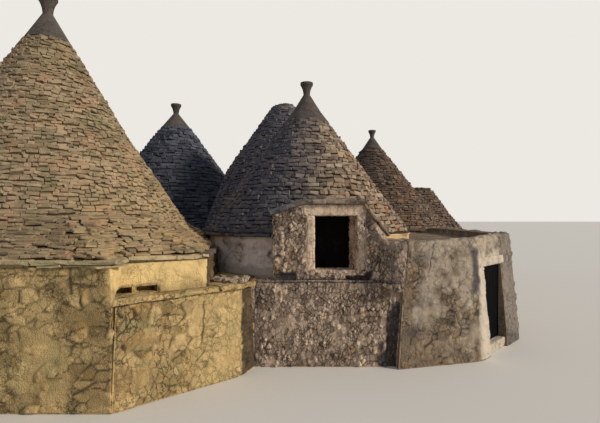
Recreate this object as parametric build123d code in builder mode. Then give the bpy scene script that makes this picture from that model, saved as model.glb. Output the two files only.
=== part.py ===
from build123d import *

import math
import os
from typing import NamedTuple

os.makedirs("parts", exist_ok=True)

# Trullo house: six dry-stone trulli and a flat-roofed entry room, built as one cluster.
# The ground is at Z 0, the front of the house faces -Y, and the origin lies on the axis of
# the centre trullo. Sizes are in millimetres.

# Shared by all the trulli
joint_gap = 4  # open joint where a round face meets the masonry beside it
slab_thickness = 60  # flat slabs under each cone, which throw the rain clear of the wall
slab_overhang = 60
cone_set_out = 60  # foot of a cone beyond the wall below it
lip_height = 70  # upright edge of a cone's lowest course
floor_thickness = 60
passage_width = 900  # arched ways from room to room
passage_height = 1750
passage_rise = 250  # height of the arch above its springing

# Centre trullo
centre_room_radius = 1500
centre_wall_radius = 2420
centre_wall_height = 2410
centre_shoulder_radius = 1340  # where the slope of the cone changes
centre_shoulder_height = 1640  # above the foot of the cone
centre_crown_radius = 395
centre_cone_height = 2950
centre_vault_height = 2250

# Rear centre trullo, which has lost its pinnacle
rear_centre_x = -714
rear_centre_y = 4300
rear_centre_room_radius = 1600
rear_centre_wall_radius = 2680
rear_centre_wall_height = 2400
rear_centre_shoulder_radius = 2020
rear_centre_shoulder_height = 1930
rear_centre_crown_radius = 400
rear_centre_cone_height = 4270
rear_centre_vault_height = 3250
rear_centre_crown_round = 290

# Rear left trullo
rear_left_x = -5240
rear_left_y = 6800
rear_left_room_radius = 1900
rear_left_wall_radius = 3140
rear_left_wall_height = 2400
rear_left_shoulder_radius = 2060
rear_left_shoulder_height = 2000
rear_left_crown_radius = 620
rear_left_cone_height = 3960
rear_left_vault_height = 3000

# Rear right trullo
rear_right_x = 2940
rear_right_y = 7800
rear_right_room_radius = 1750
rear_right_wall_radius = 3000
rear_right_wall_height = 2340
rear_right_shoulder_radius = 1660
rear_right_shoulder_height = 1770
rear_right_crown_radius = 420
rear_right_cone_height = 3380
rear_right_vault_height = 2600

# Far right trullo, which has lost its pinnacle and upper courses
far_right_x = 5730
far_right_y = 11300
far_right_room_radius = 1300
far_right_wall_radius = 2300
far_right_wall_height = 2020
far_right_shoulder_radius = 1640
far_right_shoulder_height = 960
far_right_crown_radius = 740
far_right_cone_height = 2250
far_right_vault_height = 1650
far_right_crown_round = 520

# Left trullo, whose round wall stands in a base with a straight front and a jutting corner
left_x = -5820
left_y = -1340
left_room_radius = 2200
left_wall_radius = 3230
left_wall_height = 2110
left_shoulder_radius = 1725
left_shoulder_height = 2420
left_crown_radius = 480
left_cone_height = 4540
left_vault_height = 3600
left_front_left = (-8300, -4930)
left_front_right = (-2860, -4960)
left_front_step = (-2900, -4500)
left_jutting_corner = (-1790, -3680)
left_behind_corner = (-2200, 300)
left_back_corner = (-3600, 1250)
left_corner_round = 160
left_skirt_height = 620  # low courses that run in from the base to the round cone
left_skirt_share = 0.72  # of the base's reach, at the top of those courses

# Pinnacles: plastered tip of the cone, neck and flared head
pinnacle_tip_rise = 500
pinnacle_neck_radius = 84
pinnacle_head_rise = 310
pinnacle_head_radius = 160
pinnacle_rim_height = 60
large_pinnacle_scale = 1.28  # on the left and rear left trulli

# Terraces in front of the trulli
batter = 3  # degrees from upright
front_terrace_height = 1600
front_wall_y = -2960
link_height = 2360  # raised end of the front terrace, between the bay and the entry
link_end_x = 1960
left_terrace_height = 1610
coping_thickness = 70
terrace_left_end = (-2850, -4955)
terrace_corner = (-1230, -3460)
terrace_return_x = -1020
terrace_seat = 300  # how far the terraces run in behind their neighbours' faces
terrace_corner_round = 600

# Window bay on the centre trullo
bay_front_y = -2800
bay_left_x = -685
bay_right_x = 1470
bay_left_height = 2850
bay_right_height = 2500
window_left_x = 110
window_width = 815
window_sill_level = 1790
window_height = 1047
jamb_width = 150
jamb_depth = 420
jamb_splay = 119  # how far the right jamb closes in towards the shutters
lintel_height = 206
lintel_bearing = 220
sill_height = 100
shutter_rebate = 80
shutter_lap = 50
shutter_gap = 4
shutter_thickness = 34
shutter_planks = 3
cover_thickness = 60
cover_overhang = 60
hollow_centres = (-460, 910)  # hollows under the foot of the bay
hollow_width = 430
hollow_height = 110
hollow_depth = 260
left_hollow_places = (0, 400)  # along the left wall from its step, over the terrace
left_hollow_width = 330

# Entry room
entry_batter = 5  # degrees from upright
entry_step = (1640, -3110)
entry_bend = (3390, -2640)
entry_corner = (4930, -1000)
entry_side_end = (5260, 4700)
entry_rear = (4900, 5450)
entry_inner_corner = (1640, 5900)
entry_bend_round = 700
entry_corner_round = 260
entry_wall_height = 2050
entry_wall_thickness = 750
entry_roof_thickness = 200
parapet_height = 190
parapet_width = 330
roof_fall = 2  # degrees down to the left
entry_room_left = 2580
entry_room_right = 4130
entry_room_back = 4200
entry_passage_x = 3340

# Doorway, measured along the slanted wall from its bend and inwards from its foot
door_start = 420
door_width = 1000
door_height = 1790
door_setback = 200
door_rebate = 80
door_lintel_height = 190
door_lintel_bearing = 220
threshold_height = 190
threshold_setback = 60
threshold_depth = 420
leaf_thickness = 40
leaf_side_gap = 30
leaf_end_gap = 12
leaf_stop_gap = 6
leaf_planks = 6
plank_groove = 6
batten_height = 110
batten_thickness = 26
pin_inset = 45  # from the rebate's side to the pin's axis
pin_setback = 44  # from the planks to the pin's axis
pin_radius = 9
pin_clearance = 0.1
pin_end = 9
eye_wall = 7
eye_height = 60
seat_gap = 0.3
pintle_levels = (330, 1450)
pintle_plate = 10
pintle_arm = 20
strap_length = 620
strap_height = 46
strap_thickness = 6


class Trullo(NamedTuple):
    """One round room with its wall and its cone."""

    x: float
    y: float
    room_radius: float
    wall_radius: float
    wall_height: float
    shoulder_radius: float
    shoulder_height: float
    crown_radius: float
    cone_height: float
    vault_height: float

    @property
    def axis(self):
        return (self.x, self.y)

    @property
    def foot(self):
        """Level where the cone starts, on top of the eave slabs."""
        return self.wall_height + slab_thickness

    @property
    def cone_radius(self):
        return self.wall_radius + cone_set_out

    @property
    def eave_radius(self):
        return self.cone_radius + slab_overhang

    @property
    def crown(self):
        return self.foot + self.cone_height


centre = Trullo(
    0,
    0,
    centre_room_radius,
    centre_wall_radius,
    centre_wall_height,
    centre_shoulder_radius,
    centre_shoulder_height,
    centre_crown_radius,
    centre_cone_height,
    centre_vault_height,
)
rear_centre = Trullo(
    rear_centre_x,
    rear_centre_y,
    rear_centre_room_radius,
    rear_centre_wall_radius,
    rear_centre_wall_height,
    rear_centre_shoulder_radius,
    rear_centre_shoulder_height,
    rear_centre_crown_radius,
    rear_centre_cone_height,
    rear_centre_vault_height,
)
rear_left = Trullo(
    rear_left_x,
    rear_left_y,
    rear_left_room_radius,
    rear_left_wall_radius,
    rear_left_wall_height,
    rear_left_shoulder_radius,
    rear_left_shoulder_height,
    rear_left_crown_radius,
    rear_left_cone_height,
    rear_left_vault_height,
)
rear_right = Trullo(
    rear_right_x,
    rear_right_y,
    rear_right_room_radius,
    rear_right_wall_radius,
    rear_right_wall_height,
    rear_right_shoulder_radius,
    rear_right_shoulder_height,
    rear_right_crown_radius,
    rear_right_cone_height,
    rear_right_vault_height,
)
far_right = Trullo(
    far_right_x,
    far_right_y,
    far_right_room_radius,
    far_right_wall_radius,
    far_right_wall_height,
    far_right_shoulder_radius,
    far_right_shoulder_height,
    far_right_crown_radius,
    far_right_cone_height,
    far_right_vault_height,
)
left = Trullo(
    left_x,
    left_y,
    left_room_radius,
    left_wall_radius,
    left_wall_height,
    left_shoulder_radius,
    left_shoulder_height,
    left_crown_radius,
    left_cone_height,
    left_vault_height,
)


# Shapes that several pieces share


def upright_plane(trullo):
    """Upright plane through a trullo's axis."""
    return Plane(origin=(trullo.x, trullo.y, 0), x_dir=(1, 0, 0), z_dir=(0, -1, 0))


def turned(trullo, profile, crown_round=0):
    """Solid turned about a trullo's axis from points of radius and height."""
    with BuildPart() as body:
        with BuildSketch(upright_plane(trullo)):
            with BuildLine():
                Polyline(*profile, close=True)
            make_face()
        revolve(axis=Axis((trullo.x, trullo.y, 0), (0, 0, 1)))
        if crown_round:
            fillet(body.edges().filter_by(GeomType.CIRCLE).sort_by(Axis.Z)[-1], crown_round)
    return body.part


def plan_block(points, bottom, top, lean=0, rounds=()):
    """Block on a plan outline, with its sides leaning in and some of its corners rounded."""
    with BuildPart() as block:
        with BuildSketch(Plane.XY.offset(bottom)) as plan:
            with BuildLine():
                Polyline(*points, close=True)
            make_face()
            for corner, radius in rounds:
                fillet(plan.vertices().sort_by_distance((*corner, bottom))[0], radius)
        extrude(amount=top - bottom, taper=lean)
    return block.part


def cone_profile(trullo, gap=0):
    """Line of a cone from its foot to its crown, set out by gap."""
    return [
        (trullo.cone_radius + gap, trullo.foot + gap),
        (trullo.cone_radius + gap, trullo.foot + lip_height),
        (trullo.shoulder_radius + gap, trullo.foot + trullo.shoulder_height),
        (trullo.crown_radius + gap, trullo.crown + gap),
        (0, trullo.crown + gap),
    ]


def roof_block(trullo, crown_round=0):
    """Eave slabs and the cone on them, before the room is taken out."""
    slabs = [
        (0, trullo.wall_height),
        (trullo.eave_radius, trullo.wall_height),
        (trullo.eave_radius, trullo.foot),
    ]
    return turned(trullo, slabs + cone_profile(trullo), crown_round)


def outer_form(trullo):
    """Wall, slabs and cone as one mass, set out by the joint that neighbours leave."""
    wall = [
        (0, 0),
        (trullo.wall_radius + joint_gap, 0),
        (trullo.wall_radius + joint_gap, trullo.wall_height - joint_gap),
        (trullo.eave_radius + joint_gap, trullo.wall_height - joint_gap),
        (trullo.eave_radius + joint_gap, trullo.foot + joint_gap),
    ]
    return turned(trullo, wall + cone_profile(trullo, joint_gap))


def room_space(trullo):
    """Air of a round room and the pointed vault over it."""
    profile = [
        (0, 0),
        (trullo.room_radius, 0),
        (trullo.room_radius, trullo.foot),
        (0, trullo.foot + trullo.vault_height),
    ]
    return turned(trullo, profile)


def arched_way(start, end):
    """Air of an arched way from one point of the plan to another."""
    run = Vector(*end) - Vector(*start)
    half = passage_width / 2
    springing = passage_height - passage_rise
    section = Plane(origin=(*start, 0), x_dir=(-run.Y, run.X, 0), z_dir=(run.X, run.Y, 0))
    with BuildPart() as way:
        with BuildSketch(section):
            with BuildLine():
                Polyline((-half, springing), (-half, 0), (half, 0), (half, springing))
                ThreePointArc((half, springing), (0, passage_height), (-half, springing))
            make_face()
        extrude(amount=run.length)
    return way.part


def export_piece(piece, name):
    """Labels a finished piece and writes it under its name."""
    piece.part.label = name
    export_step(piece.part, f"parts/{name}.step")


# Rooms and the ways between them
entry_passage_start = (entry_passage_x, entry_room_back - passage_width)
ways = {
    "left": (left.axis, centre.axis),
    "rear": (centre.axis, rear_centre.axis),
    "rear_left": (rear_centre.axis, rear_left.axis),
    "entry": (centre.axis, (entry_passage_x, centre.y)),
    "rear_right": (entry_passage_start, (entry_passage_x, rear_right.y)),
    "far_right": (rear_right.axis, far_right.axis),
}
way_air = {name: arched_way(start, end) for name, (start, end) in ways.items()}
centre_form = outer_form(centre)
rear_centre_form = outer_form(rear_centre)
rear_right_form = outer_form(rear_right)
far_right_form = outer_form(far_right)

# Window: splayed between its jambs, wider behind the shutters
window_right_x = window_left_x + window_width
window_top = window_sill_level + window_height
shutter_front_y = bay_front_y + jamb_depth
narrow_right_x = window_right_x - jamb_splay
sill_left_x = window_left_x - jamb_width
sill_right_x = window_right_x + jamb_width
lintel_left_x = window_left_x - lintel_bearing
lintel_right_x = window_right_x + lintel_bearing / 2
lintel_top = window_top + lintel_height
window_front_air = plan_block(
    [
        (window_left_x, bay_front_y - cover_overhang),
        (window_right_x, bay_front_y - cover_overhang),
        (window_right_x, bay_front_y),
        (narrow_right_x, shutter_front_y),
        (window_left_x, shutter_front_y),
    ],
    window_sill_level,
    window_top,
)
window_back_air = plan_block(
    [
        (window_left_x - shutter_rebate, shutter_front_y),
        (narrow_right_x + shutter_rebate, shutter_front_y),
        (narrow_right_x + shutter_rebate, centre.y),
        (window_left_x - shutter_rebate, centre.y),
    ],
    window_sill_level,
    window_top,
)


def bay_plane(depth):
    """Upright plane behind the front of the bay."""
    return Plane(origin=(0, bay_front_y + depth, 0), x_dir=(1, 0, 0), z_dir=(0, -1, 0))


def bay_stone(left_x, right_x, bottom, top):
    """Squared stone set flush with the front of the bay."""
    with BuildPart() as stone:
        with BuildSketch(bay_plane(0)):
            with Locations(((left_x + right_x) / 2, (bottom + top) / 2)):
                Rectangle(right_x - left_x, top - bottom)
        extrude(amount=-jamb_depth)
    return stone


window_left_jamb = bay_stone(sill_left_x, window_left_x, window_sill_level, window_top)
window_lintel = bay_stone(lintel_left_x, lintel_right_x, window_top, lintel_top)
window_sill = bay_stone(
    sill_left_x, sill_right_x, window_sill_level - sill_height, window_sill_level
)
with BuildPart() as window_right_jamb:
    with BuildSketch(Plane.XY.offset(window_sill_level)):
        with BuildLine():
            Polyline(
                (window_right_x, bay_front_y),
                (sill_right_x, bay_front_y),
                (sill_right_x, shutter_front_y),
                (narrow_right_x, shutter_front_y),
                close=True,
            )
        make_face()
    extrude(amount=window_height)
export_piece(window_left_jamb, "window_left_jamb")
export_piece(window_right_jamb, "window_right_jamb")
export_piece(window_lintel, "window_lintel")
export_piece(window_sill, "window_sill")
window_stones = [
    window_left_jamb.part,
    window_right_jamb.part,
    window_lintel.part,
    window_sill.part,
]
window_cuts = window_stones + [window_front_air, window_back_air]


# Round walls, each in two segments parted on an upright plane through its axis


def left_base(share=1):
    """Plan of the left trullo's base, drawn in towards its axis."""
    corners = [
        (left.x - left_wall_radius, left.y),
        left_front_left,
        left_front_right,
        left_front_step,
        left_jutting_corner,
        left_behind_corner,
        left_back_corner,
    ]
    drawn = [(left.x + (x - left.x) * share, left.y + (y - left.y) * share) for x, y in corners]
    with BuildSketch() as base:
        with Locations(left.axis):
            Circle(left_wall_radius * share)
        with BuildLine():
            Polyline(*drawn, close=True)
        make_face()
        fillet(base.vertices().sort_by_distance(drawn[4])[0], left_corner_round * share)
    return base.sketch


def round_wall(trullo):
    """Solid drum of a round trullo."""
    with BuildPart() as wall:
        with BuildSketch(Plane.XY):
            with Locations(trullo.axis):
                Circle(trullo.wall_radius)
        extrude(amount=trullo.wall_height)
    return wall.part


with BuildPart() as left_drum:
    with BuildSketch():
        add(left_base())
    extrude(amount=left_wall_height)

left_face = Vector(*left_jutting_corner) - Vector(*left_front_step)
left_face_plane = Plane(
    origin=(*left_front_step, left_terrace_height), x_dir=left_face, z_dir=(0, 0, 1)
)
with BuildPart() as left_hollows:
    with BuildSketch(left_face_plane):
        for along in left_hollow_places:
            with Locations((along, 0)):
                Rectangle(left_hollow_width, 2 * hollow_depth)
    extrude(amount=hollow_height)

# Ways and neighbours taken out of each wall, bearing of its parting, names of its segments
wall_plans = (
    ("centre", centre, ("left", "rear", "entry"), window_cuts, 25, "right", "left"),
    ("rear_centre", rear_centre, ("rear", "rear_left"), [centre_form], 0, "right", "left"),
    ("rear_left", rear_left, ("rear_left",), [rear_centre_form], 60, "back", "front"),
    (
        "rear_right",
        rear_right,
        ("rear_right", "far_right"),
        [rear_centre_form, far_right_form],
        0,
        "right",
        "left",
    ),
    ("far_right", far_right, ("far_right",), [], 0, "right", "left"),
    ("left", left, ("left",), [centre_form, left_hollows.part], 75, "back", "front"),
)
for name, trullo, openings, neighbours, bearing, near_side, far_side in wall_plans:
    with BuildPart() as hollow_wall:
        add(left_drum.part if trullo is left else round_wall(trullo))
        add(room_space(trullo), mode=Mode.SUBTRACT)
        for opening in openings:
            add(way_air[opening], mode=Mode.SUBTRACT)
        for neighbour in neighbours:
            add(neighbour, mode=Mode.SUBTRACT)
    facing = (math.cos(math.radians(bearing)), math.sin(math.radians(bearing)), 0)
    parting = Plane(origin=(*trullo.axis, 0), x_dir=(0, 0, 1), z_dir=facing)
    for side, keep in ((near_side, Keep.TOP), (far_side, Keep.BOTTOM)):
        with BuildPart() as wall_segment:
            add(hollow_wall.part)
            split(bisect_by=parting, keep=keep)
        export_piece(wall_segment, f"{name}_wall_{side}")
print("walls ready")

# Corbelled cones, hollow inside, cut back where they run into a neighbour
roof_plans = (
    ("centre", centre, 0, window_cuts),
    ("rear_centre", rear_centre, rear_centre_crown_round, [centre_form]),
    ("rear_left", rear_left, 0, [rear_centre_form]),
    ("rear_right", rear_right, 0, [rear_centre_form, far_right_form]),
    ("far_right", far_right, far_right_crown_round, []),
)
for name, trullo, crown_round, neighbours in roof_plans:
    with BuildPart() as roof:
        add(roof_block(trullo, crown_round))
        add(room_space(trullo), mode=Mode.SUBTRACT)
        for neighbour in neighbours:
            add(neighbour, mode=Mode.SUBTRACT)
    export_piece(roof, f"{name}_roof")

with BuildPart() as left_roof:
    with BuildSketch(Plane.XY.offset(left_wall_height)):
        add(left_base())
        offset(amount=slab_overhang, kind=Kind.INTERSECTION)
    extrude(amount=slab_thickness)
    with BuildSketch(Plane.XY.offset(left.foot)):
        add(left_base())
    with BuildSketch(Plane.XY.offset(left.foot + left_skirt_height)):
        add(left_base(left_skirt_share))
    loft()
    add(turned(left, [(0, left.foot)] + cone_profile(left)))
    add(room_space(left), mode=Mode.SUBTRACT)
    add(centre_form, mode=Mode.SUBTRACT)
export_piece(left_roof, "left_roof")
print("cones ready")

# Pinnacles


def pinnacle(trullo, scale=1):
    """Plastered tip of a cone with its neck and flared head."""
    neck = pinnacle_neck_radius * scale
    neck_level = trullo.crown + pinnacle_tip_rise * scale
    head = pinnacle_head_radius * scale
    top = neck_level + pinnacle_head_rise * scale
    rim_level = top - pinnacle_rim_height * scale
    with BuildPart() as spire:
        with BuildSketch(upright_plane(trullo)):
            with BuildLine():
                Polyline((0, trullo.crown), (trullo.crown_radius, trullo.crown), (neck, neck_level))
                TangentArc((neck, neck_level), (head, rim_level), tangent=(0, 1))
                Polyline((head, rim_level), (head, top), (0, top), (0, trullo.crown))
            make_face()
        revolve(axis=Axis((trullo.x, trullo.y, 0), (0, 0, 1)))
    return spire


export_piece(pinnacle(centre), "centre_pinnacle")
export_piece(pinnacle(rear_right), "rear_right_pinnacle")
export_piece(pinnacle(rear_left, large_pinnacle_scale), "rear_left_pinnacle")
export_piece(pinnacle(left, large_pinnacle_scale), "left_pinnacle")

# Entry room: battered walls with rounded corners round a room with one slanted side
slanted_run = Vector(*entry_corner) - Vector(*entry_bend)
door_along = slanted_run.normalized()
door_inward = Vector(-door_along.Y, door_along.X)


def door_point(along, inward):
    """Plan point at a distance along the slanted wall and another into it."""
    point = Vector(*entry_bend) + door_along * along + door_inward * inward
    return (point.X, point.Y)


def door_plane(level):
    """Level plane with X along the slanted wall and Y into it."""
    return Plane(origin=(*entry_bend, level), x_dir=door_along, z_dir=(0, 0, 1))


def door_block(along_span, inward_span, level_span):
    """Block squared to the slanted wall."""
    with BuildPart() as block:
        with BuildSketch(door_plane(level_span[0])):
            with Locations((sum(along_span) / 2, sum(inward_span) / 2)):
                Rectangle(along_span[1] - along_span[0], inward_span[1] - inward_span[0])
        extrude(amount=level_span[1] - level_span[0])
    return block.part


entry_outline = [
    entry_step,
    entry_bend,
    entry_corner,
    entry_side_end,
    entry_rear,
    entry_inner_corner,
]
entry_rounds = ((entry_bend, entry_bend_round), (entry_corner, entry_corner_round))
entry_roof_level = entry_wall_height + entry_roof_thickness
entry_top = entry_roof_level + parapet_height
entry_mass = plan_block(entry_outline, 0, entry_top, entry_batter, entry_rounds)
inner_bend = door_point(0, entry_wall_thickness)
inner_run = (entry_room_right - inner_bend[0]) / door_along.X
inner_corner = door_point(inner_run, entry_wall_thickness)
entry_room = [
    (entry_room_left, inner_bend[1]),
    inner_bend,
    inner_corner,
    (entry_room_right, entry_room_back),
    (entry_room_left, entry_room_back),
]
entry_neighbours = [centre_form, rear_centre_form, rear_right_form]
door_end = door_start + door_width
recess_span = (door_start - door_rebate, door_end + door_rebate)
doorway = door_block((door_start, door_end), (-door_setback, door_setback), (0, door_height))
door_recess = door_block(
    recess_span, (door_setback, entry_wall_thickness), (0, door_height + door_rebate)
)
lintel_span = (door_start - door_lintel_bearing, door_end + door_lintel_bearing)
lintel_place = door_block(
    lintel_span, (-door_setback, door_setback), (door_height, door_height + door_lintel_height)
)
threshold_span = (threshold_setback, threshold_setback + threshold_depth)

with BuildPart() as door_threshold:
    with BuildSketch(door_plane(0)):
        for span, bounds in (
            ((door_start, door_end), (threshold_setback, door_setback)),
            (recess_span, (door_setback, threshold_span[1])),
        ):
            with Locations((sum(span) / 2, sum(bounds) / 2)):
                Rectangle(span[1] - span[0], bounds[1] - bounds[0])
    extrude(amount=threshold_height)
export_piece(door_threshold, "door_threshold")

with BuildPart() as door_lintel:
    add(entry_mass)
    add(lintel_place, mode=Mode.INTERSECT)
export_piece(door_lintel, "door_lintel")

with BuildPart() as entry_walls:
    add(entry_mass)
    add(plan_block(entry_outline, entry_wall_height, entry_top), mode=Mode.SUBTRACT)
    add(plan_block(entry_room, 0, entry_wall_height), mode=Mode.SUBTRACT)
    for space in [way_air["entry"], way_air["rear_right"], doorway, door_recess, lintel_place]:
        add(space, mode=Mode.SUBTRACT)
    for neighbour in entry_neighbours:
        add(neighbour, mode=Mode.SUBTRACT)

# The walls part beside the doorway, over it and along two sides of the room
zone_left = entry_step[0] - entry_wall_thickness
zone_front = entry_step[1] - entry_wall_thickness
zone_right = entry_side_end[0] + entry_wall_thickness
zone_back = entry_rear[1] + entry_wall_thickness
front_zone = [
    (zone_left, inner_bend[1]),
    (zone_left, zone_front),
    door_point(door_start, -entry_wall_thickness),
    door_point(door_start, entry_wall_thickness),
    inner_bend,
]
side_zone = [
    door_point(door_end, entry_wall_thickness),
    door_point(door_end, -entry_wall_thickness),
    (zone_right, entry_corner[1] - entry_wall_thickness),
    (zone_right, zone_back),
    (entry_room_right, zone_back),
    inner_corner,
]
upper_zone = [
    (zone_left, inner_bend[1]),
    (zone_left, zone_front),
    (zone_right, zone_front),
    (zone_right, zone_back),
    (entry_room_right, zone_back),
    inner_corner,
    inner_bend,
]
zones = (
    ("entry_front_wall", plan_block(front_zone, 0, door_height)),
    ("entry_side_wall", plan_block(side_zone, 0, door_height)),
    ("entry_upper_wall", plan_block(upper_zone, door_height, entry_wall_height)),
)
for name, zone in zones:
    with BuildPart() as entry_wall:
        add(entry_walls.part)
        add(zone, mode=Mode.INTERSECT)
    export_piece(entry_wall, name)
with BuildPart() as entry_party_wall:
    add(entry_walls.part)
    for name, zone in zones:
        add(zone, mode=Mode.SUBTRACT)
export_piece(entry_party_wall, "entry_party_wall")

# Flat roof with a low parapet, falling to the left
fall = math.radians(roof_fall)
fall_plane = Plane(
    origin=(entry_corner[0], entry_corner[1], entry_top), z_dir=(-math.sin(fall), 0, math.cos(fall))
)
with BuildPart() as entry_roof:
    add(entry_mass)
    add(plan_block(entry_outline, 0, entry_wall_height), mode=Mode.SUBTRACT)
    with BuildSketch(Plane.XY.offset(entry_roof_level)):
        with BuildLine():
            Polyline(*entry_outline, close=True)
        make_face()
        lean_in = entry_roof_level * math.tan(math.radians(entry_batter))
        offset(amount=-parapet_width - lean_in, kind=Kind.INTERSECTION)
    extrude(amount=parapet_height, mode=Mode.SUBTRACT)
    split(bisect_by=fall_plane, keep=Keep.BOTTOM)
    for neighbour in entry_neighbours:
        add(neighbour, mode=Mode.SUBTRACT)
export_piece(entry_roof, "entry_roof")
print("entry room ready")

# Plank door on two strap hinges, opening inwards
leaf_left = recess_span[0] + leaf_side_gap
leaf_width = recess_span[1] - leaf_side_gap - leaf_left
leaf_middle = leaf_left + leaf_width / 2
leaf_outer = door_setback + leaf_stop_gap
leaf_inner = leaf_outer + leaf_thickness
leaf_bottom = threshold_height + leaf_end_gap
leaf_top = door_height + door_rebate - leaf_end_gap
pin_along = recess_span[1] - pin_inset
pin_inward = leaf_inner + pin_setback

with BuildPart() as door_leaf:
    with BuildSketch(door_plane(leaf_bottom)):
        with Locations((leaf_middle, leaf_outer + leaf_thickness / 2)):
            Rectangle(leaf_width, leaf_thickness)
        plank_width = leaf_width / leaf_planks
        with Locations((leaf_middle, leaf_outer)):
            with GridLocations(plank_width, 0, leaf_planks - 1, 1):
                Rectangle(plank_groove, 2 * plank_groove, mode=Mode.SUBTRACT)
    extrude(amount=leaf_top - leaf_bottom)
    for level in pintle_levels:
        with BuildSketch(door_plane(level - batten_height / 2)):
            with Locations((leaf_middle, leaf_inner + batten_thickness / 2)):
                Rectangle(leaf_width - 2 * leaf_side_gap, batten_thickness)
        extrude(amount=batten_height)
export_piece(door_leaf, "door_leaf")


def strap_hinge(level):
    """Strap across a batten, rolled into an eye round its pintle's pin."""
    strap_inward = leaf_inner + batten_thickness + strap_thickness / 2
    with BuildPart() as strap:
        with BuildSketch(door_plane(level - strap_height / 2)):
            with Locations((pin_along - strap_length / 2, strap_inward)):
                Rectangle(strap_length, strap_thickness)
        extrude(amount=strap_height)
        with BuildSketch(door_plane(level - eye_height / 2)):
            with Locations((pin_along, pin_inward)):
                Circle(pin_radius + pin_clearance + eye_wall)
        extrude(amount=eye_height)
        with BuildSketch(door_plane(level - eye_height / 2)):
            with Locations((pin_along, pin_inward)):
                Circle(pin_radius + pin_clearance)
        extrude(amount=eye_height, mode=Mode.SUBTRACT)
    return strap


def pintle(level):
    """Plate on the jamb with an arm that carries the upright pin."""
    jamb = recess_span[1]
    arm_top = level - eye_height / 2 - seat_gap
    arm_end = pin_along - 1.5 * pin_radius
    with BuildPart() as hook:
        with BuildSketch(door_plane(arm_top - pintle_arm)):
            with Locations(((arm_end + jamb) / 2, pin_inward)):
                Rectangle(jamb - arm_end, 3 * pin_radius)
        extrude(amount=pintle_arm)
        with BuildSketch(door_plane(arm_top - pintle_arm)):
            with Locations((jamb - pintle_plate / 2, pin_inward)):
                Rectangle(pintle_plate, eye_height)
        extrude(amount=pintle_arm + eye_height)
        with BuildSketch(door_plane(arm_top)):
            with Locations((pin_along, pin_inward)):
                Circle(pin_radius)
        extrude(amount=seat_gap + eye_height + pin_end)
    return hook


for place, level in zip(("lower", "upper"), pintle_levels):
    export_piece(strap_hinge(level), f"{place}_strap")
    export_piece(pintle(level), f"{place}_pintle")

# Terraces: the left one has a thin coping, the front one carries the window bay
terrace_outline = [
    terrace_left_end,
    terrace_corner,
    (terrace_return_x, front_wall_y),
    (terrace_return_x, -centre_room_radius),
    (left_behind_corner[0], -centre_room_radius),
    (left_behind_corner[0] - terrace_seat, -centre_room_radius),
    (left_front_step[0] - terrace_seat, left_front_step[1]),
]
terrace_rounds = ((terrace_corner, terrace_corner_round),)
coping_level = left_terrace_height - coping_thickness
with BuildPart() as left_terrace:
    add(plan_block(terrace_outline, 0, coping_level, batter, terrace_rounds))
    add(plan_block(terrace_outline, coping_level, left_terrace_height, 0, terrace_rounds))
    add(centre_form, mode=Mode.SUBTRACT)
    add(left_drum.part, mode=Mode.SUBTRACT)
export_piece(left_terrace, "left_terrace")

front_terrace_outline = [
    (terrace_return_x - terrace_seat, front_wall_y),
    (entry_step[0] + terrace_seat, front_wall_y),
    (entry_step[0] + terrace_seat, -centre_room_radius),
    (terrace_return_x - terrace_seat, -centre_room_radius),
]
link_outline = [
    (bay_right_x, bay_front_y),
    (link_end_x, bay_front_y),
    (link_end_x, -centre_room_radius),
    (bay_right_x, -centre_room_radius),
]
with BuildPart() as front_terrace:
    add(plan_block(front_terrace_outline, 0, front_terrace_height, batter))
    add(plan_block(link_outline, front_terrace_height, link_height))
    for neighbour in (centre_form, entry_mass, left_terrace.part):
        add(neighbour, mode=Mode.SUBTRACT)
export_piece(front_terrace, "front_terrace")
print("terraces ready")

# Window bay: rubble front round the cut stones, hollow at its foot, under sloping slabs
bay_depth = centre.y - bay_front_y
left_slope = (lintel_top - bay_left_height) / (lintel_left_x - bay_left_x)
right_slope = (lintel_top - bay_right_height) / (bay_right_x - lintel_right_x)
cover_left = (bay_left_x - cover_overhang, bay_left_height - cover_overhang * left_slope)
cover_right = (bay_right_x + cover_overhang, bay_right_height - cover_overhang * right_slope)
with BuildPart() as bay_wall:
    with BuildSketch(bay_plane(0)):
        with BuildLine():
            Polyline(
                (bay_left_x, front_terrace_height),
                (bay_right_x, front_terrace_height),
                (bay_right_x, bay_right_height),
                (lintel_right_x, lintel_top),
                (lintel_left_x, lintel_top),
                (bay_left_x, bay_left_height),
                close=True,
            )
        make_face()
    extrude(amount=-bay_depth)
    with BuildSketch(bay_plane(0)):
        for hollow_x in hollow_centres:
            with Locations((hollow_x, front_terrace_height + hollow_height / 2)):
                Rectangle(hollow_width, hollow_height)
    extrude(amount=-hollow_depth, mode=Mode.SUBTRACT)
    for space in [centre_form, *window_cuts]:
        add(space, mode=Mode.SUBTRACT)
export_piece(bay_wall, "bay_wall")

with BuildPart() as bay_cover:
    with BuildSketch(bay_plane(-cover_overhang)):
        with BuildLine():
            Polyline(
                cover_left,
                (lintel_left_x, lintel_top),
                (lintel_right_x, lintel_top),
                cover_right,
                (cover_right[0], cover_right[1] + cover_thickness),
                (lintel_right_x, lintel_top + cover_thickness),
                (lintel_left_x, lintel_top + cover_thickness),
                (cover_left[0], cover_left[1] + cover_thickness),
                close=True,
            )
        make_face()
    extrude(amount=-bay_depth - cover_overhang)
    add(centre_form, mode=Mode.SUBTRACT)
export_piece(bay_cover, "bay_cover")

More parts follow.
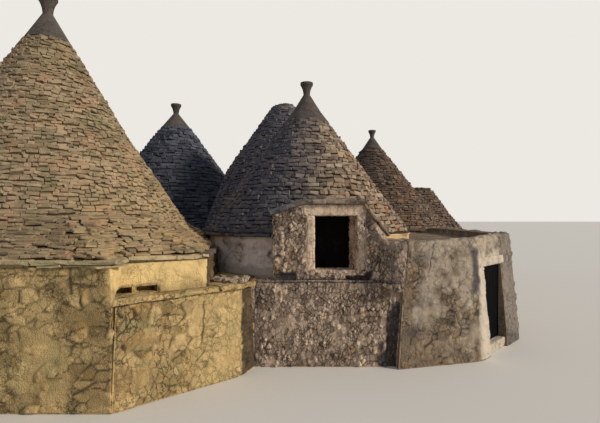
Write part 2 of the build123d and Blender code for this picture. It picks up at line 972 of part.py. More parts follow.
# Plank shutters, closed against the back of the jambs
shutter_left_x = window_left_x - shutter_lap
shutter_right_x = narrow_right_x + shutter_lap
shutter_width = (shutter_right_x - shutter_left_x - shutter_gap) / 2
for side, middle_x in (
    ("left", shutter_left_x + shutter_width / 2),
    ("right", shutter_right_x - shutter_width / 2),
):
    with BuildPart() as shutter:
        with BuildSketch(Plane.XY.offset(window_sill_level)):
            with Locations((middle_x, shutter_front_y + shutter_thickness / 2)):
                Rectangle(shutter_width, shutter_thickness)
            with Locations((middle_x, shutter_front_y)):
                with GridLocations(shutter_width / shutter_planks, 0, shutter_planks - 1, 1):
                    Rectangle(plank_groove, 2 * plank_groove, mode=Mode.SUBTRACT)
        extrude(amount=window_height - shutter_gap)
    export_piece(shutter, f"{side}_shutter")
print("window ready")

# Paving of the rooms and of the ways between them
with BuildPart() as floor:
    with BuildSketch():
        for trullo in (centre, rear_centre, rear_left, rear_right, far_right, left):
            with Locations(trullo.axis):
                Circle(trullo.room_radius - joint_gap)
        for start, end in ways.values():
            run = Vector(*end) - Vector(*start)
            middle = Vector(*start) + run / 2
            bearing = math.degrees(math.atan2(run.Y, run.X))
            with Locations(Location((middle.X, middle.Y, 0), (0, 0, bearing))):
                Rectangle(run.length, passage_width)
        with BuildLine():
            Polyline(*entry_room, close=True)
        make_face()
    extrude(amount=floor_thickness)
    add(door_block(recess_span, (threshold_span[1], entry_wall_thickness), (0, floor_thickness)))
export_piece(floor, "floor")
print("floor ready")
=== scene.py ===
import bisect
import math
import random
import time

import bmesh
import bpy
from mathutils import Matrix, Vector, noise
from mathutils.bvhtree import BVHTree


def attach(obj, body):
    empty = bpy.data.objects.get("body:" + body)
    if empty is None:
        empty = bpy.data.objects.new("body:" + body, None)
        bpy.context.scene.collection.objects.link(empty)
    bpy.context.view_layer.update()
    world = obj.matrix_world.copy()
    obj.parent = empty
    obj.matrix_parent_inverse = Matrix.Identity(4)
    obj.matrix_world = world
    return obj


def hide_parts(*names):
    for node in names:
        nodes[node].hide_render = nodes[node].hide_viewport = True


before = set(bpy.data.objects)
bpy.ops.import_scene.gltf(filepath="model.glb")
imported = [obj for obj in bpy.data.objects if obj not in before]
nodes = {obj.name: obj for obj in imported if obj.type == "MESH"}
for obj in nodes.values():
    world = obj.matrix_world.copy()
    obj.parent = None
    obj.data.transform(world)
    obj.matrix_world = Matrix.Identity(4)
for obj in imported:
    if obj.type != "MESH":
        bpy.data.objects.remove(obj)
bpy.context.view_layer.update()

started = time.time()
upward = Vector((0, 0, 1))
noise.seed_set(5)  # without a seed, noise vectors come from the clock and no two runs are the same


def linear(code):
    # an sRGB hex colour as the linear colour that the shaders use
    parts = [int(code[i:i + 2], 16) / 255 for i in (1, 3, 5)]
    return [p / 12.92 if p <= 0.04045 else ((p + 0.055) / 1.055) ** 2.4 for p in parts] + [1]


def addNode(tree, kind, settings=None, links=None):
    # adds a shader node; settings go to its inputs or, where it has none of that name, to itself
    node = tree.nodes.new(kind)
    for key, value in (settings or {}).items():
        if isinstance(key, str) and hasattr(node, key) and key not in node.inputs:
            setattr(node, key, value)
        else:
            node.inputs[key].default_value = value
    for key, source in (links or {}).items():
        tree.links.new(source, node.inputs[key])
    return node


def smooth(value):
    # 0 below 0, 1 above 1 and an even bend between them
    value = min(max(value, 0), 1)
    return value * value * (3 - 2 * value)


def cloud(point, often, fade=0.8, octaves=3, finer=2.1):
    # chance patches, about this many to the metre
    return noise.fractal(point * often, fade, finer, octaves)


def jitter(rng, far):
    # a chance step of up to this far along each axis
    return Vector([rng.uniform(-1, 1) * far for _ in range(3)])


# Camera: where the photograph was taken from, level, 2.77 m above the ground
view = {"place": (-0.17, -11.2, 2.77), "lens": 26.4, "sensor": 36, "rise": 0.0125}
lens = bpy.data.cameras.new("camera")
lens.lens = view["lens"]
lens.sensor_width = view["sensor"]
lens.shift_y = view["rise"]
camera = bpy.data.objects.new("camera", lens)
camera.location = view["place"]
camera.rotation_euler = (math.radians(90), 0, 0)
bpy.context.scene.collection.objects.link(camera)
bpy.context.scene.camera = camera

# Soft studio light: a broad key from the right, low as in the photograph, and an even sky
light = {"bearing": 68, "height": 22, "spread": 9, "key": 3.1, "fill": 0.44,
         "keyColour": "#fff4e4", "fillColour": "#dfe6f2", "backdrop": "#ece9e3"}
bpy.context.scene.view_settings.view_transform = "Standard"
keyLamp = bpy.data.lights.new("key", "SUN")
keyLamp.energy = light["key"]
keyLamp.angle = math.radians(light["spread"])
keyLamp.color = linear(light["keyColour"])[:3]
key = bpy.data.objects.new("key", keyLamp)
turn, lift = math.radians(light["bearing"]), math.radians(light["height"])
towards = Vector((math.sin(turn) * math.cos(lift), -math.cos(turn) * math.cos(lift), math.sin(lift)))
key.rotation_euler = towards.to_track_quat("Z", "Y").to_euler()
bpy.context.scene.collection.objects.link(key)

world = bpy.data.worlds.new("studio")
bpy.context.scene.world = world
world.use_nodes = True
sky = world.node_tree
sky.nodes.clear()
lightPath = addNode(sky, "ShaderNodeLightPath")
mirrored = addNode(sky, "ShaderNodeMath", {"operation": "MAXIMUM"}, {
    0: lightPath.outputs["Is Glossy Ray"], 1: lightPath.outputs["Is Transmission Ray"]})
seen = addNode(sky, "ShaderNodeMath", {"operation": "MAXIMUM"}, {
    0: lightPath.outputs["Is Camera Ray"], 1: mirrored.outputs[0]})
fill = addNode(sky, "ShaderNodeBackground", {"Color": linear(light["fillColour"]), "Strength": light["fill"]})
backdrop = addNode(sky, "ShaderNodeBackground", {"Color": linear(light["backdrop"]), "Strength": 1})
either = addNode(sky, "ShaderNodeMixShader", links={
    0: seen.outputs[0], 1: fill.outputs[0], 2: backdrop.outputs[0]})
addNode(sky, "ShaderNodeOutputWorld", links={"Surface": either.outputs[0]})

# Plain pale floor, not part of the house, just below the level of its foot
floorLook = {"size": 900, "below": 0.004, "colour": "#dcd8d0"}
bpy.ops.mesh.primitive_plane_add(size=floorLook["size"], location=(0, 0, -floorLook["below"]))
floor = bpy.context.object
floor.name = "studio_floor"
stageFinish = bpy.data.materials.new("studio_floor")
stageFinish.use_nodes = True
stageShader = stageFinish.node_tree.nodes["Principled BSDF"]
stageShader.inputs["Base Color"].default_value = linear(floorLook["colour"])
stageShader.inputs["Roughness"].default_value = 1
floor.data.materials.append(stageFinish)
print("camera, light and floor", round(time.time() - started, 1))


def newMaterial(name):
    # an empty material, its nodes and the place on the object that its patterns read
    material = bpy.data.materials.new(name)
    material.use_nodes = True
    material.node_tree.nodes.clear()
    place = addNode(material.node_tree, "ShaderNodeTexCoord").outputs["Object"]
    return material, material.node_tree, place


def addSurface(tree, colour, height, bump, finish):
    # the last nodes of each material; bump is its strength and its depth in metres
    relief = addNode(tree, "ShaderNodeBump", {"Strength": bump[0], "Distance": bump[1]}, {"Height": height})
    shader = addNode(tree, "ShaderNodeBsdfPrincipled", finish, {
        "Base Color": colour, "Normal": relief.outputs[0]})
    addNode(tree, "ShaderNodeOutputMaterial", links={"Surface": shader.outputs[0]})


def masonry(name, look):
    # stone or lime: colour from patches, single stones, cracks, stains, lichen and painted shade; relief from
    # grain
    material, tree, place = newMaterial(name)
    # what the pieces are painted with, point by point
    painted = {mark: addNode(tree, "ShaderNodeAttribute", {"attribute_name": mark}).outputs["Fac"]
               for mark in ("stoneTone", "wash", "stainAndShade", "gap")}

    def patches(size, detail=4, rough=0.6, low=0.4, high=0.6, warp=0):
        # soft-edged patches of about this size in millimetres
        cloudy = addNode(tree, "ShaderNodeTexNoise", {
            "Scale": 1000 / size, "Detail": detail, "Roughness": rough, "Distortion": warp},
            {"Vector": place})
        return addNode(tree, "ShaderNodeMapRange", {
            "From Min": low, "From Max": high}, {"Value": cloudy.outputs["Fac"]}).outputs["Result"]

    def tint(base, colour, amount, share):
        # lays a colour over the base by a mask, at most by share
        mask = addNode(tree, "ShaderNodeMath", {"operation": "MULTIPLY", 1: share}, {0: amount})
        mix = addNode(tree, "ShaderNodeMix", {"data_type": "RGBA", 7: linear(colour)},
                      {0: mask.outputs[0], 6: base})
        return mix.outputs[2]

    def cracks(size, wide):
        # ragged dark lines between knobs of this size in millimetres, in patches only
        ragged = addNode(tree, "ShaderNodeTexNoise", {"Scale": 2500 / size, "Detail": 3}, {"Vector": place})
        bent = addNode(tree, "ShaderNodeVectorMath", {
            "operation": "MULTIPLY_ADD", 1: [size * 0.0009] * 3}, {0: ragged.outputs["Color"], 2: place})
        tall = addNode(tree, "ShaderNodeMapping", {"Scale": (1, 1, 0.7)}, {"Vector": bent.outputs[0]})
        edge = addNode(tree, "ShaderNodeTexVoronoi", {
            "feature": "DISTANCE_TO_EDGE", "Scale": 1000 / size}, {"Vector": tall.outputs[0]})
        line = addNode(tree, "ShaderNodeMapRange", {
            "From Min": wide, "From Max": wide * 0.25}, {"Value": edge.outputs["Distance"]})
        return addNode(tree, "ShaderNodeMath", {"operation": "MULTIPLY"}, {
            0: line.outputs["Result"], 1: patches(size * 5, 3, 0.6, 0.4, 0.56)}).outputs[0]

    grain = look["grain"]
    ground = addNode(tree, "ShaderNodeMix", {
        "data_type": "RGBA", 6: linear(look["base"]), 7: linear(look["other"])},
        {0: patches(look["patch"], 5, 0.65)})
    colour = ground.outputs[2]
    colour = tint(colour, look["pale"], painted["stoneTone"], look["toneShare"])
    colour = tint(colour, look["dark"], painted["stoneTone"], -look.get("darkShare", look["toneShare"]))
    colour = tint(colour, look["pale"], patches(grain * 6, 3, 0.6, 0.55, 0.75), look.get("bloom", 0.5))
    colour = tint(colour, look["dark"], patches(grain * 9, 4, 0.7, 0.52, 0.72), look["grime"])
    # lichen in patches, and in some looks painted shade on one side
    for spot in look["lichenAndShade"]:
        mask = patches(spot["size"], 6, 0.7, spot["from"], spot["to"], 0.4)
        if "side" in spot:
            # lies on one side only, from one X to another
            across = addNode(tree, "ShaderNodeSeparateXYZ", links={"Vector": place}).outputs["X"]
            side = addNode(tree, "ShaderNodeMapRange", {
                "From Min": spot["side"][0], "From Max": spot["side"][1]}, {"Value": across})
            mask = addNode(tree, "ShaderNodeMath", {"operation": "MULTIPLY"}, {
                0: mask, 1: side.outputs["Result"]}).outputs[0]
        colour = tint(colour, spot["colour"], mask, spot["share"])
    if "streaks" in look:
        # rain has drawn the dirt down the wall in narrow streaks
        drawn = addNode(tree, "ShaderNodeMapping", {"Scale": (1, 1, look["drawn"])}, {"Vector": place})
        runs = addNode(tree, "ShaderNodeTexNoise", {
            "Scale": 1000 / look["streak"], "Detail": 5, "Roughness": 0.65}, {"Vector": drawn.outputs[0]})
        dirty = addNode(tree, "ShaderNodeMapRange", {
            "From Min": 0.5, "From Max": 0.66}, {"Value": runs.outputs["Fac"]})
        colour = tint(colour, look["dark"], dirty.outputs["Result"], look["streaks"])
    relief = addNode(tree, "ShaderNodeTexNoise", {
        "Scale": 1000 / grain, "Detail": 6, "Roughness": 0.7}, {"Vector": place}).outputs["Fac"]
    if "knobs" in look:
        split = cracks(look["knobs"], look["crack"])
        colour = tint(colour, look["joint"], split, look["crackShare"])
        relief = addNode(tree, "ShaderNodeMath", {"operation": "MULTIPLY_ADD", 1: -1.5}, {
            0: split, 2: relief}).outputs[0]
    colour = tint(colour, look.get("wash", look["pale"]), painted["wash"], 0.92)
    # stains, and painted shade where a paint lays it
    colour = tint(colour, look.get("darkening", look["dark"]), painted["stainAndShade"], 0.9)
    colour = tint(colour, look["joint"], painted["gap"], look["jointShare"])
    pits = addNode(tree, "ShaderNodeTexVoronoi", {
        "Scale": 1000 / look["pit"], "Randomness": 1}, {"Vector": place})
    rough = addNode(tree, "ShaderNodeMath", {"operation": "ADD"}, {0: relief, 1: pits.outputs["Distance"]})
    addSurface(tree, colour, rough.outputs[0], (look["bump"], look["depth"]), {
        "Roughness": look["roughness"], "IOR": 1.5, "Specular IOR Level": 0.25})
    return material


# Weathered dry-laid limestone slabs, split by hand: matt, rough, each slab its own grey, lichen in patches
slabLook = {
    "base": "#857560", "other": "#6e614f", "pale": "#b9a98f", "dark": "#3f362c", "joint": "#231d18",
    "toneShare": 0.6, "grime": 0.6, "jointShare": 0.9, "patch": 900, "grain": 18, "pit": 30,
    "bump": 0.5, "depth": 0.012, "roughness": 0.92,
    "lichenAndShade": ({"colour": "#6f6a46", "size": 420, "from": 0.5, "to": 0.66, "share": 0.4},
               {"colour": "#a8834e", "size": 260, "from": 0.56, "to": 0.7, "share": 0.45}),
}
leftSlabs = masonry("limestone_slabs_lichened", {
    **slabLook, "base": "#96826a", "other": "#7c6d54", "pale": "#bdab8a", "toneShare": 0.42, "lichenAndShade": (
        {"colour": "#6c6c4c", "size": 420, "from": 0.48, "to": 0.62, "share": 0.5},
        {"colour": "#a57f63", "size": 500, "from": 0.5, "to": 0.64, "share": 0.5},
        {"colour": "#c0a375", "size": 300, "from": 0.4, "to": 0.6, "share": 0.6, "side": (-4.6, -3.0)})})
eaveSlabs = masonry("limestone_slabs_eave", {
    **slabLook, "base": "#bea885", "other": "#a2916f", "pale": "#d6c29c", "toneShare": 0.4, "lichenAndShade": (
        {"colour": "#85845e", "size": 600, "from": 0.4, "to": 0.58, "share": 0.5, "side": (-2.6, -3.6)},)})
centreSlabs = masonry("limestone_slabs_weathered", {
    **slabLook, "base": "#867463", "other": "#6a5c53", "lichenAndShade": (
        # painted shade: from X 0.5 leftwards the slabs turn blue-grey
        {"colour": "#454a5a", "size": 700, "from": 0.2, "to": 0.45, "share": 0.78, "side": (0.5, -0.6)},
        {"colour": "#a2703f", "size": 260, "from": 0.5, "to": 0.64, "share": 0.6, "side": (0.2, 1.3)})})
# The rear-left trullo's slabs, painted dark blue-grey as the shade it stands in
shadeSlabs = masonry("limestone_slabs_painted_shade", {
    **slabLook, "base": "#464954", "other": "#383b45", "pale": "#62656f", "dark": "#22242b",
    "joint": "#0b0c10", "lichenAndShade": ()})
rearSlabs = masonry("limestone_slabs_rear", {
    **slabLook, "base": "#5b4d43", "other": "#4a3f39", "pale": "#857462", "lichenAndShade": (
        # painted shade: from X 3.2 leftwards these slabs turn blue-grey
        {"colour": "#3a3a40", "size": 600, "from": 0.35, "to": 0.6, "share": 0.6, "side": (3.2, 2.2)},
        {"colour": "#8a6142", "size": 300, "from": 0.5, "to": 0.64, "share": 0.5, "side": (2.6, 3.6)})})

# The small stones and earth behind the slabs, seen only in the gaps between them: painted darker than the
# slabs, as the shade in the gaps
gapShade = masonry("limestone_bedding_painted_shade", {
    **slabLook, "base": "#3a322a", "other": "#2c2620", "pale": "#4a4138", "dark": "#1d1814", "lichenAndShade": ()})
leftGapShade = masonry("limestone_bedding_left_painted_shade", {
    **slabLook, "base": "#6f604a", "other": "#5d5140", "pale": "#85755b", "dark": "#4a3f31", "lichenAndShade": ()})

# Rubble limestone bedded in lime mortar, hand laid: rough, buff to ochre, dark open joints
rubbleLook = {
    "base": "#d3bba4", "other": "#b49f8c", "pale": "#e8d2b8", "dark": "#5e5046", "joint": "#1f1915",
    "toneShare": 0.4, "darkShare": 0.35, "grime": 0.4, "jointShare": 0.85, "patch": 700, "grain": 12,
    "pit": 22, "bump": 0.7, "depth": 0.012, "roughness": 0.95, "knobs": 62, "crack": 0.12, "crackShare": 0.75,
    "streak": 70, "drawn": 0.14,
    "lichenAndShade": ({"colour": "#a67c4e", "size": 260, "from": 0.54, "to": 0.66, "share": 0.5},),
}
frontRubble = masonry("limestone_rubble", {
    **rubbleLook, "darkening": "#2b2a31", "bloom": 0.25, "streaks": 0.6, "streak": 50, "drawn": 0.35})
leftRubble = masonry("limestone_rubble_limewashed", {
    **rubbleLook, "base": "#b5996a", "other": "#9c885f", "pale": "#d8bd8a", "dark": "#5f4c30",
    "wash": "#dec187", "darkening": "#3d322a", "toneShare": 0.35, "darkShare": 0.3, "knobs": 105, "crack": 0.08,
    "crackShare": 0.7, "streaks": 0.25, "lichenAndShade": (
        {"colour": "#87835b", "size": 500, "from": 0.5, "to": 0.62, "share": 0.5},
        {"colour": "#c0904a", "size": 350, "from": 0.56, "to": 0.66, "share": 0.45})})

# Lime plaster and render, trowelled over the same rubble: smoother, its cracks fine and further apart
entryPlaster = masonry("lime_plaster_on_rubble", {
    **rubbleLook, "base": "#95836e", "other": "#83735f", "pale": "#b5a389", "dark": "#54473a",
    "wash": "#cdc1af", "darkening": "#413f46", "toneShare": 0.3, "grime": 0.45, "patch": 500,
    "knobs": 80, "crack": 0.08, "crackShare": 0.6, "streaks": 0.6})
drumPlaster = masonry("lime_plaster_aged", {
    **rubbleLook, "base": "#e4d3c6", "other": "#c4b3a8", "pale": "#f0e1d6", "dark": "#7c6b62",
    "toneShare": 0.2, "knobs": 190, "crack": 0.05, "crackShare": 0.65, "streaks": 0.25, "lichenAndShade": ()})
stripPlaster = masonry("lime_plaster_sunlit", {
    **rubbleLook, "base": "#c09f6d", "other": "#a98a5f", "pale": "#d6b988", "dark": "#6c5438",
    "toneShare": 0.2})
limePlaster = masonry("lime_render_weathered", {
    **rubbleLook, "base": "#5b524c", "other": "#494543", "pale": "#7b7067", "dark": "#2b2a2b", "toneShare": 0,
    "patch": 260, "knobs": 120, "crack": 0.04, "crackShare": 0.4, "lichenAndShade": ()})

# Limestone squared with a chisel, and worn: even in colour, with few fine cracks
cutStone = masonry("limestone_dressed", {
    **rubbleLook, "base": "#e2c9af", "other": "#cbb29a", "pale": "#eed9c2", "dark": "#947c66", "toneShare": 0,
    "patch": 200, "knobs": 110, "crack": 0.05, "crackShare": 0.45, "lichenAndShade": ()})
whitewash = masonry("limestone_whitewashed", {
    **rubbleLook, "base": "#c5b8a5", "other": "#aca193", "pale": "#d8cdbb", "dark": "#77706a", "toneShare": 0,
    "grime": 0.3, "patch": 300, "knobs": 200, "crack": 0.03, "crackShare": 0.4, "lichenAndShade": ()})
paving = masonry("limestone_paving_worn", {
    **rubbleLook, "base": "#9a9080", "other": "#857b6c", "toneShare": 0})


def timber(name, look):
    # weathered boards: long fibres along Z, and paler patches where the dark coat has worn thin
    material, tree, place = newMaterial(name)
    along = addNode(tree, "ShaderNodeMapping", {"Scale": (1, 1, 0.05)}, {"Vector": place})
    fibre = addNode(tree, "ShaderNodeTexNoise", {
        "Scale": 1000 / look["fibre"], "Detail": 5, "Roughness": 0.7}, {"Vector": along.outputs[0]})
    wear = addNode(tree, "ShaderNodeTexNoise", {"Scale": 1000 / look["wear"], "Detail": 4}, {"Vector": place})
    boards = addNode(tree, "ShaderNodeMix", {
        "data_type": "RGBA", 6: linear(look["base"]), 7: linear(look["pale"])}, {0: fibre.outputs["Fac"]})
    worn = addNode(tree, "ShaderNodeMapRange", {"From Min": 0.55, "From Max": 0.75}, {
        "Value": wear.outputs["Fac"]})
    colour = addNode(tree, "ShaderNodeMix", {"data_type": "RGBA", 7: linear(look["worn"])},
                     {0: worn.outputs[0], 6: boards.outputs[2]})
    addSurface(tree, colour.outputs[2], fibre.outputs["Fac"], (0.5, 0.002), {
        "Roughness": 0.9, "IOR": 1.5, "Specular IOR Level": 0.06})
    return material


# Sawn softwood and old chestnut: dark boards, painted nearly black as the shade in the deep window and
# doorway
shutterBoards = timber("pine_boards_painted_shade", {
    "base": "#050505", "pale": "#0e0d0c", "worn": "#191715", "fibre": 9, "wear": 160})
doorBoards = timber("chestnut_boards_painted_shade", {
    "base": "#020204", "pale": "#070609", "worn": "#0c0b0e", "fibre": 10, "wear": 220})

# Wrought iron, hammered by hand and left to rust in spots of about 25 mm: dark, half matt
ironLook = {"base": "#1b1a1a", "rust": "#4a2c1c", "spot": 25}
iron, tree, place = newMaterial("wrought_iron_rusted")
rust = addNode(tree, "ShaderNodeTexNoise", {
    "Scale": 1000 / ironLook["spot"], "Detail": 5, "Roughness": 0.7}, {"Vector": place})
colour = addNode(tree, "ShaderNodeMix", {
    "data_type": "RGBA", 6: linear(ironLook["base"]), 7: linear(ironLook["rust"])}, {0: rust.outputs["Fac"]})
addSurface(tree, colour.outputs[2], rust.outputs["Fac"], (0.4, 0.001), {"Roughness": 0.6, "Metallic": 0.7})

finishes = {
    "left_roof": leftSlabs, "centre_roof": centreSlabs, "rear_centre_roof": centreSlabs,
    "rear_left_roof": shadeSlabs, "rear_right_roof": rearSlabs, "far_right_roof": rearSlabs,
    "bay_cover": centreSlabs, "entry_roof": entryPlaster, "floor": paving,
    "door_leaf": doorBoards, "left_shutter": shutterBoards, "right_shutter": shutterBoards,
    "door_lintel": whitewash, "door_threshold": whitewash, "left_terrace": leftRubble,
}
families = {"window": cutStone, "entry": entryPlaster, "left": leftRubble, "centre": drumPlaster}
for name, node in nodes.items():
    finish = finishes.get(name) or families.get(name.split("_")[0], frontRubble)
    if "pinnacle" in name:
        finish = limePlaster
    if name.endswith(("strap", "pintle")):
        finish = iron
    node.data.materials.clear()
    node.data.materials.append(finish)
print("materials", round(time.time() - started, 1))


# Each cone: its axis in plan, then its foot, shoulder and crown as radius and level, in metres
coneRows = {
    "centre": ((0, 0), (2.48, 2.47), (1.34, 4.11), (0.395, 5.42)),
    "rear_centre": ((-0.714, 4.3), (2.74, 2.46), (2.02, 4.39), (0.4, 6.73)),
    "rear_left": ((-5.24, 6.8), (3.2, 2.46), (2.06, 4.46), (0.62, 6.42)),
    "rear_right": ((2.94, 7.8), (3.06, 2.4), (1.66, 4.17), (0.42, 5.78)),
    "far_right": ((5.73, 11.3), (2.36, 2.08), (1.64, 3.04), (0.74, 4.33)),
    "left": ((-5.82, -1.34), (3.29, 2.17), (1.725, 4.59), (0.48, 6.71)),
}
cones = {name: dict(zip(("axis", "foot", "shoulder", "crown"), row)) for name, row in coneRows.items()}
overhang = 0.06  # how far a cone's foot stands out past the wall under it

# The window bay: its sides and front in plan, then its cover, which rises gently from the left side,
# runs level from X 0 to the bend and falls steeply from there
bay = {"left": -0.68, "right": 1.47, "front": -2.78, "low": 2.85, "rise": 0.25, "top": 3.06, "bend": 1.03,
       "fall": 1.25}


def coneRadius(cone, level):
    # radius of a cone's face at a level, below its foot that of the wall
    (footRadius, foot), (midRadius, middle), (topRadius, top) = cone["foot"], cone["shoulder"], cone["crown"]
    if level < foot:
        return footRadius - overhang
    if level < middle:
        return footRadius + (midRadius - footRadius) * (level - foot) / (middle - foot)
    return midRadius + (topRadius - midRadius) * (level - middle) / (top - middle)


def coverLevel(x):
    # level of the bay's cover
    if x < 0:
        return bay["low"] + bay["rise"] * (x - bay["left"])
    return bay["top"] - bay["fall"] * max(x - bay["bend"], 0)


def hidden(point, own, margin=0.02):
    # whether a point lies inside another trullo or the window bay
    for name, cone in cones.items():
        reach = math.hypot(point.x - cone["axis"][0], point.y - cone["axis"][1])
        if name != own and point.z < cone["crown"][1] and reach < coneRadius(cone, point.z) - margin:
            return True
    inPlan = bay["left"] < point.x < bay["right"] and bay["front"] < point.y < 0
    return own != "bay" and inPlan and point.z < coverLevel(point.x)


def caster(*names):
    # one surface to shine rays on, made of these CAD nodes
    mesh = bmesh.new()
    for name in names:
        mesh.from_mesh(nodes[name].data)
    tree = BVHTree.FromBMesh(mesh)
    mesh.free()
    return tree


def finished(name, mesh, material):
    # closes a bmesh into an object that rides on the house
    data = bpy.data.meshes.new(name)
    mesh.to_mesh(data)
    mesh.free()
    piece = bpy.data.objects.new(name, data)
    bpy.context.scene.collection.objects.link(piece)
    data.materials.append(material)
    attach(piece, "house")
    return piece


def addInto(whole, part):
    # adds a bmesh to another and frees it
    scratch = bpy.data.meshes.new("scratch")
    part.to_mesh(scratch)
    part.free()
    whole.from_mesh(scratch)
    bpy.data.meshes.remove(scratch)


def shadeSmooth(mesh):
    for face in mesh.faces:
        face.smooth = True


def standing(across, outward, up=upward):
    # the turn that lays a stone's X, Y and Z along these directions
    return Matrix((across, outward, up)).transposed().to_4x4()


def drawCore(name, look):
    # the CAD cone with its face drawn in, so that the faces of its slabs lie where the CAD face is
    cone = cones[name]
    foot, crown = cone["foot"][1], cone["crown"][1]
    mesh = bmesh.new()
    mesh.from_mesh(nodes[f"{name}_roof"].data)
    bmesh.ops.remove_doubles(mesh, verts=mesh.verts, dist=0.0001)
    for vert in mesh.verts:
        away = Vector((vert.co.x - cone["axis"][0], vert.co.y - cone["axis"][1], 0))
        outer = away.length > coneRadius(cone, vert.co.z) - 0.004
        if outer and foot - 0.005 < vert.co.z < look["skirt"] - 0.12:
            # the low skirt is too flat for its face to move in by much, so it also moves down
            vert.co.z -= look["core"]
        if outer and vert.co.z > foot + 0.005 and away.length > look["core"]:
            vert.co -= away.normalized() * look["core"]
        if look["sunkTop"] and vert.co.z > crown - 0.002:
            vert.co.z -= look["core"]
    piece = finished(f"{name}_core", mesh, look["gapShade"])
    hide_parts(f"{name}_roof")


# Rays towards a cone's axis start this far off its face, and are this long; over the skirt two more
# are sent beside them, and count where they meet the roof near by
ray = {"off": 2.6, "long": 2.9, "aside": 0.22, "near": 0.5}


def meetRoof(surface, start, outward, low):
    # where a ray towards the axis meets the roof, and which way the roof faces there
    hit, normal = surface.ray_cast(start, -outward, ray["long"])[:2]
    if hit is None or Vector((normal.x, normal.y, 0)).length < (0.04 if low else 0.2):
        return None, None
    if low:
        # over the ridges of the skirt the slabs turn little by little
        for aside in (-ray["aside"], ray["aside"]):
            shifted = start + outward.cross(upward) * aside
            beside, facing = surface.ray_cast(shifted, -outward, ray["long"])[:2]
            if beside and (beside - hit).length < ray["near"]:
                normal = normal + facing
        normal.normalize()
    return hit, normal


def standOut(ring, middle, look, rng):
    # the outer face of each slab stands out a little inside its worn edges
    ring.normal_update()
    outer = []
    for face in ring.faces:
        away = face.calc_center_median() - middle
        away.z = 0
        if face.normal.dot(away.normalized()) > 0.5:
            outer.append(face)
    if outer:
        bmesh.ops.inset_individual(ring, faces=outer, thickness=look["worn"], depth=look["worn"] * 0.7)
    for face in outer:
        for vert in face.verts:
            vert.co += jitter(rng, look["rough"] * 0.5)


def layCourses(name, look):
    # slabs laid in rings on a cone, each set against the CAD roof by a ray towards the axis
    drawCore(name, look)
    rng = random.Random(look["seed"])
    cone = cones[name]
    surface = caster(f"{name}_roof")
    middle = Vector((*cone["axis"], 0))
    whole = bmesh.new()
    whole.verts.layers.float.new("stoneTone")
    level = cone["foot"][1] + look["start"]
    top = cone["crown"][1] - look["stop"]
    while level < top:
        low = level < look["skirt"]
        slack = look["loose"] * (look["skirtLoose"] if low else 1)
        height = look["course"] * rng.uniform(*look["courses"]) * (look["skirtCourse"] if low else 1)
        radius = coneRadius(cone, level + height / 2)
        ring = bmesh.new()
        tone = ring.verts.layers.float.new("stoneTone")
        turned = rng.uniform(0, math.tau)
        end = turned + math.tau
        while turned < end - 0.02:
            length = look["stone"] * rng.uniform(*look["stones"]) * (look["skirtStone"] if low else 1)
            step = min(length / radius, 0.9)
            bearing = turned + step / 2
            outward = Vector((math.cos(bearing), math.sin(bearing), 0))
            start = middle + outward * (radius + ray["off"])
            start.z = level + height / 2
            hit, normal = meetRoof(surface, start, outward, low)
            if hit is None:
                turned += step
                continue
            flat = Vector((normal.x, normal.y, 0))
            steep = math.atan2(normal.z, flat.length)
            flat.normalize()
            squint = max(flat.dot(outward), 0.35)
            grown = (radius + ray["off"] - (hit - start).length) / radius / squint
            if grown > 1.3:
                # where the base runs out to its corners, the same stones take less of the turn
                step = step / grown
                grown = 1
            turned += step
            if hidden(hit, name):
                continue
            size = Vector((length * grown * 0.98, look["bed"], height * rng.uniform(0.82, 1)))
            # steep faces lean back with the cone, flat ones dip outwards to shed the rain
            lean = steep * look["lean"] if steep < 0.8 else (steep - math.pi / 2) * 0.35
            edge = hit + flat * rng.uniform(*look["proud"])
            edge.z += rng.gauss(0, look["course"] * look["uneven"])
            pose = (Matrix.Translation(edge) @ standing(Vector((flat.y, -flat.x, 0)), flat)
                    @ Matrix.Rotation(lean + rng.gauss(0, slack), 4, "X")
                    @ Matrix.Rotation(rng.gauss(0, slack * 1.4), 4, "Z")
                    @ Matrix.Rotation(rng.gauss(0, slack * 0.8), 4, "Y")
                    @ Matrix.Translation((0, -look["bed"] / 2, 0)))
            slab = bmesh.ops.create_cube(ring, size=1, matrix=pose @ Matrix.Diagonal((*size, 1)))["verts"]
            shade = rng.uniform(*look["tones"])
            for vert in slab:
                vert[tone] = shade
                vert.co += jitter(rng, look["rough"])
        standOut(ring, middle, look, rng)
        addInto(whole, ring)
        level += height
    print(name, "courses", len(whole.faces), "faces", round(time.time() - started, 1))
    finished(f"{name}_courses", whole, finishes[f"{name}_roof"])


courseLook = {
    "course": 0.085, "stone": 0.15, "bed": 0.2, "lean": 0.6, "loose": 0.075, "proud": (-0.026, 0.01),
    "uneven": 0.08, "rough": 0.015, "worn": 0.014, "core": 0.065, "start": 0.02, "stop": 0.02,
    "gapShade": gapShade, "sunkTop": False, "tones": (-0.7, 1),
    # how much the heights of courses and the lengths of stones vary
    "courses": (0.8, 1.25), "stones": (0.55, 1.6),
    # below the level of the skirt the courses are lower, and their stones longer and less loose
    "skirt": 0, "skirtLoose": 0.45, "skirtCourse": 0.7, "skirtStone": 1.2,
}
layCourses("left", {
    **courseLook, "seed": 11, "course": 0.065, "stone": 0.13, "proud": (-0.014, 0.004), "lean": 0.8,
    "loose": 0.09, "uneven": 0.2, "core": 0.05, "skirt": 2.92, "rough": 0.012, "gapShade": leftGapShade,
    "worn": 0.01, "bed": 0.26})
layCourses("centre", {**courseLook, "seed": 12, "stop": 0.22})
layCourses("rear_centre", {**courseLook, "seed": 13, "stone": 0.2, "sunkTop": True})
layCourses("rear_left", {**courseLook, "seed": 14, "course": 0.12, "stone": 0.24})
layCourses("rear_right", {**courseLook, "seed": 15, "stone": 0.2})
layCourses("far_right", {
    **courseLook, "seed": 16, "course": 0.11, "stone": 0.22, "proud": (-0.03, 0.02), "sunkTop": True})


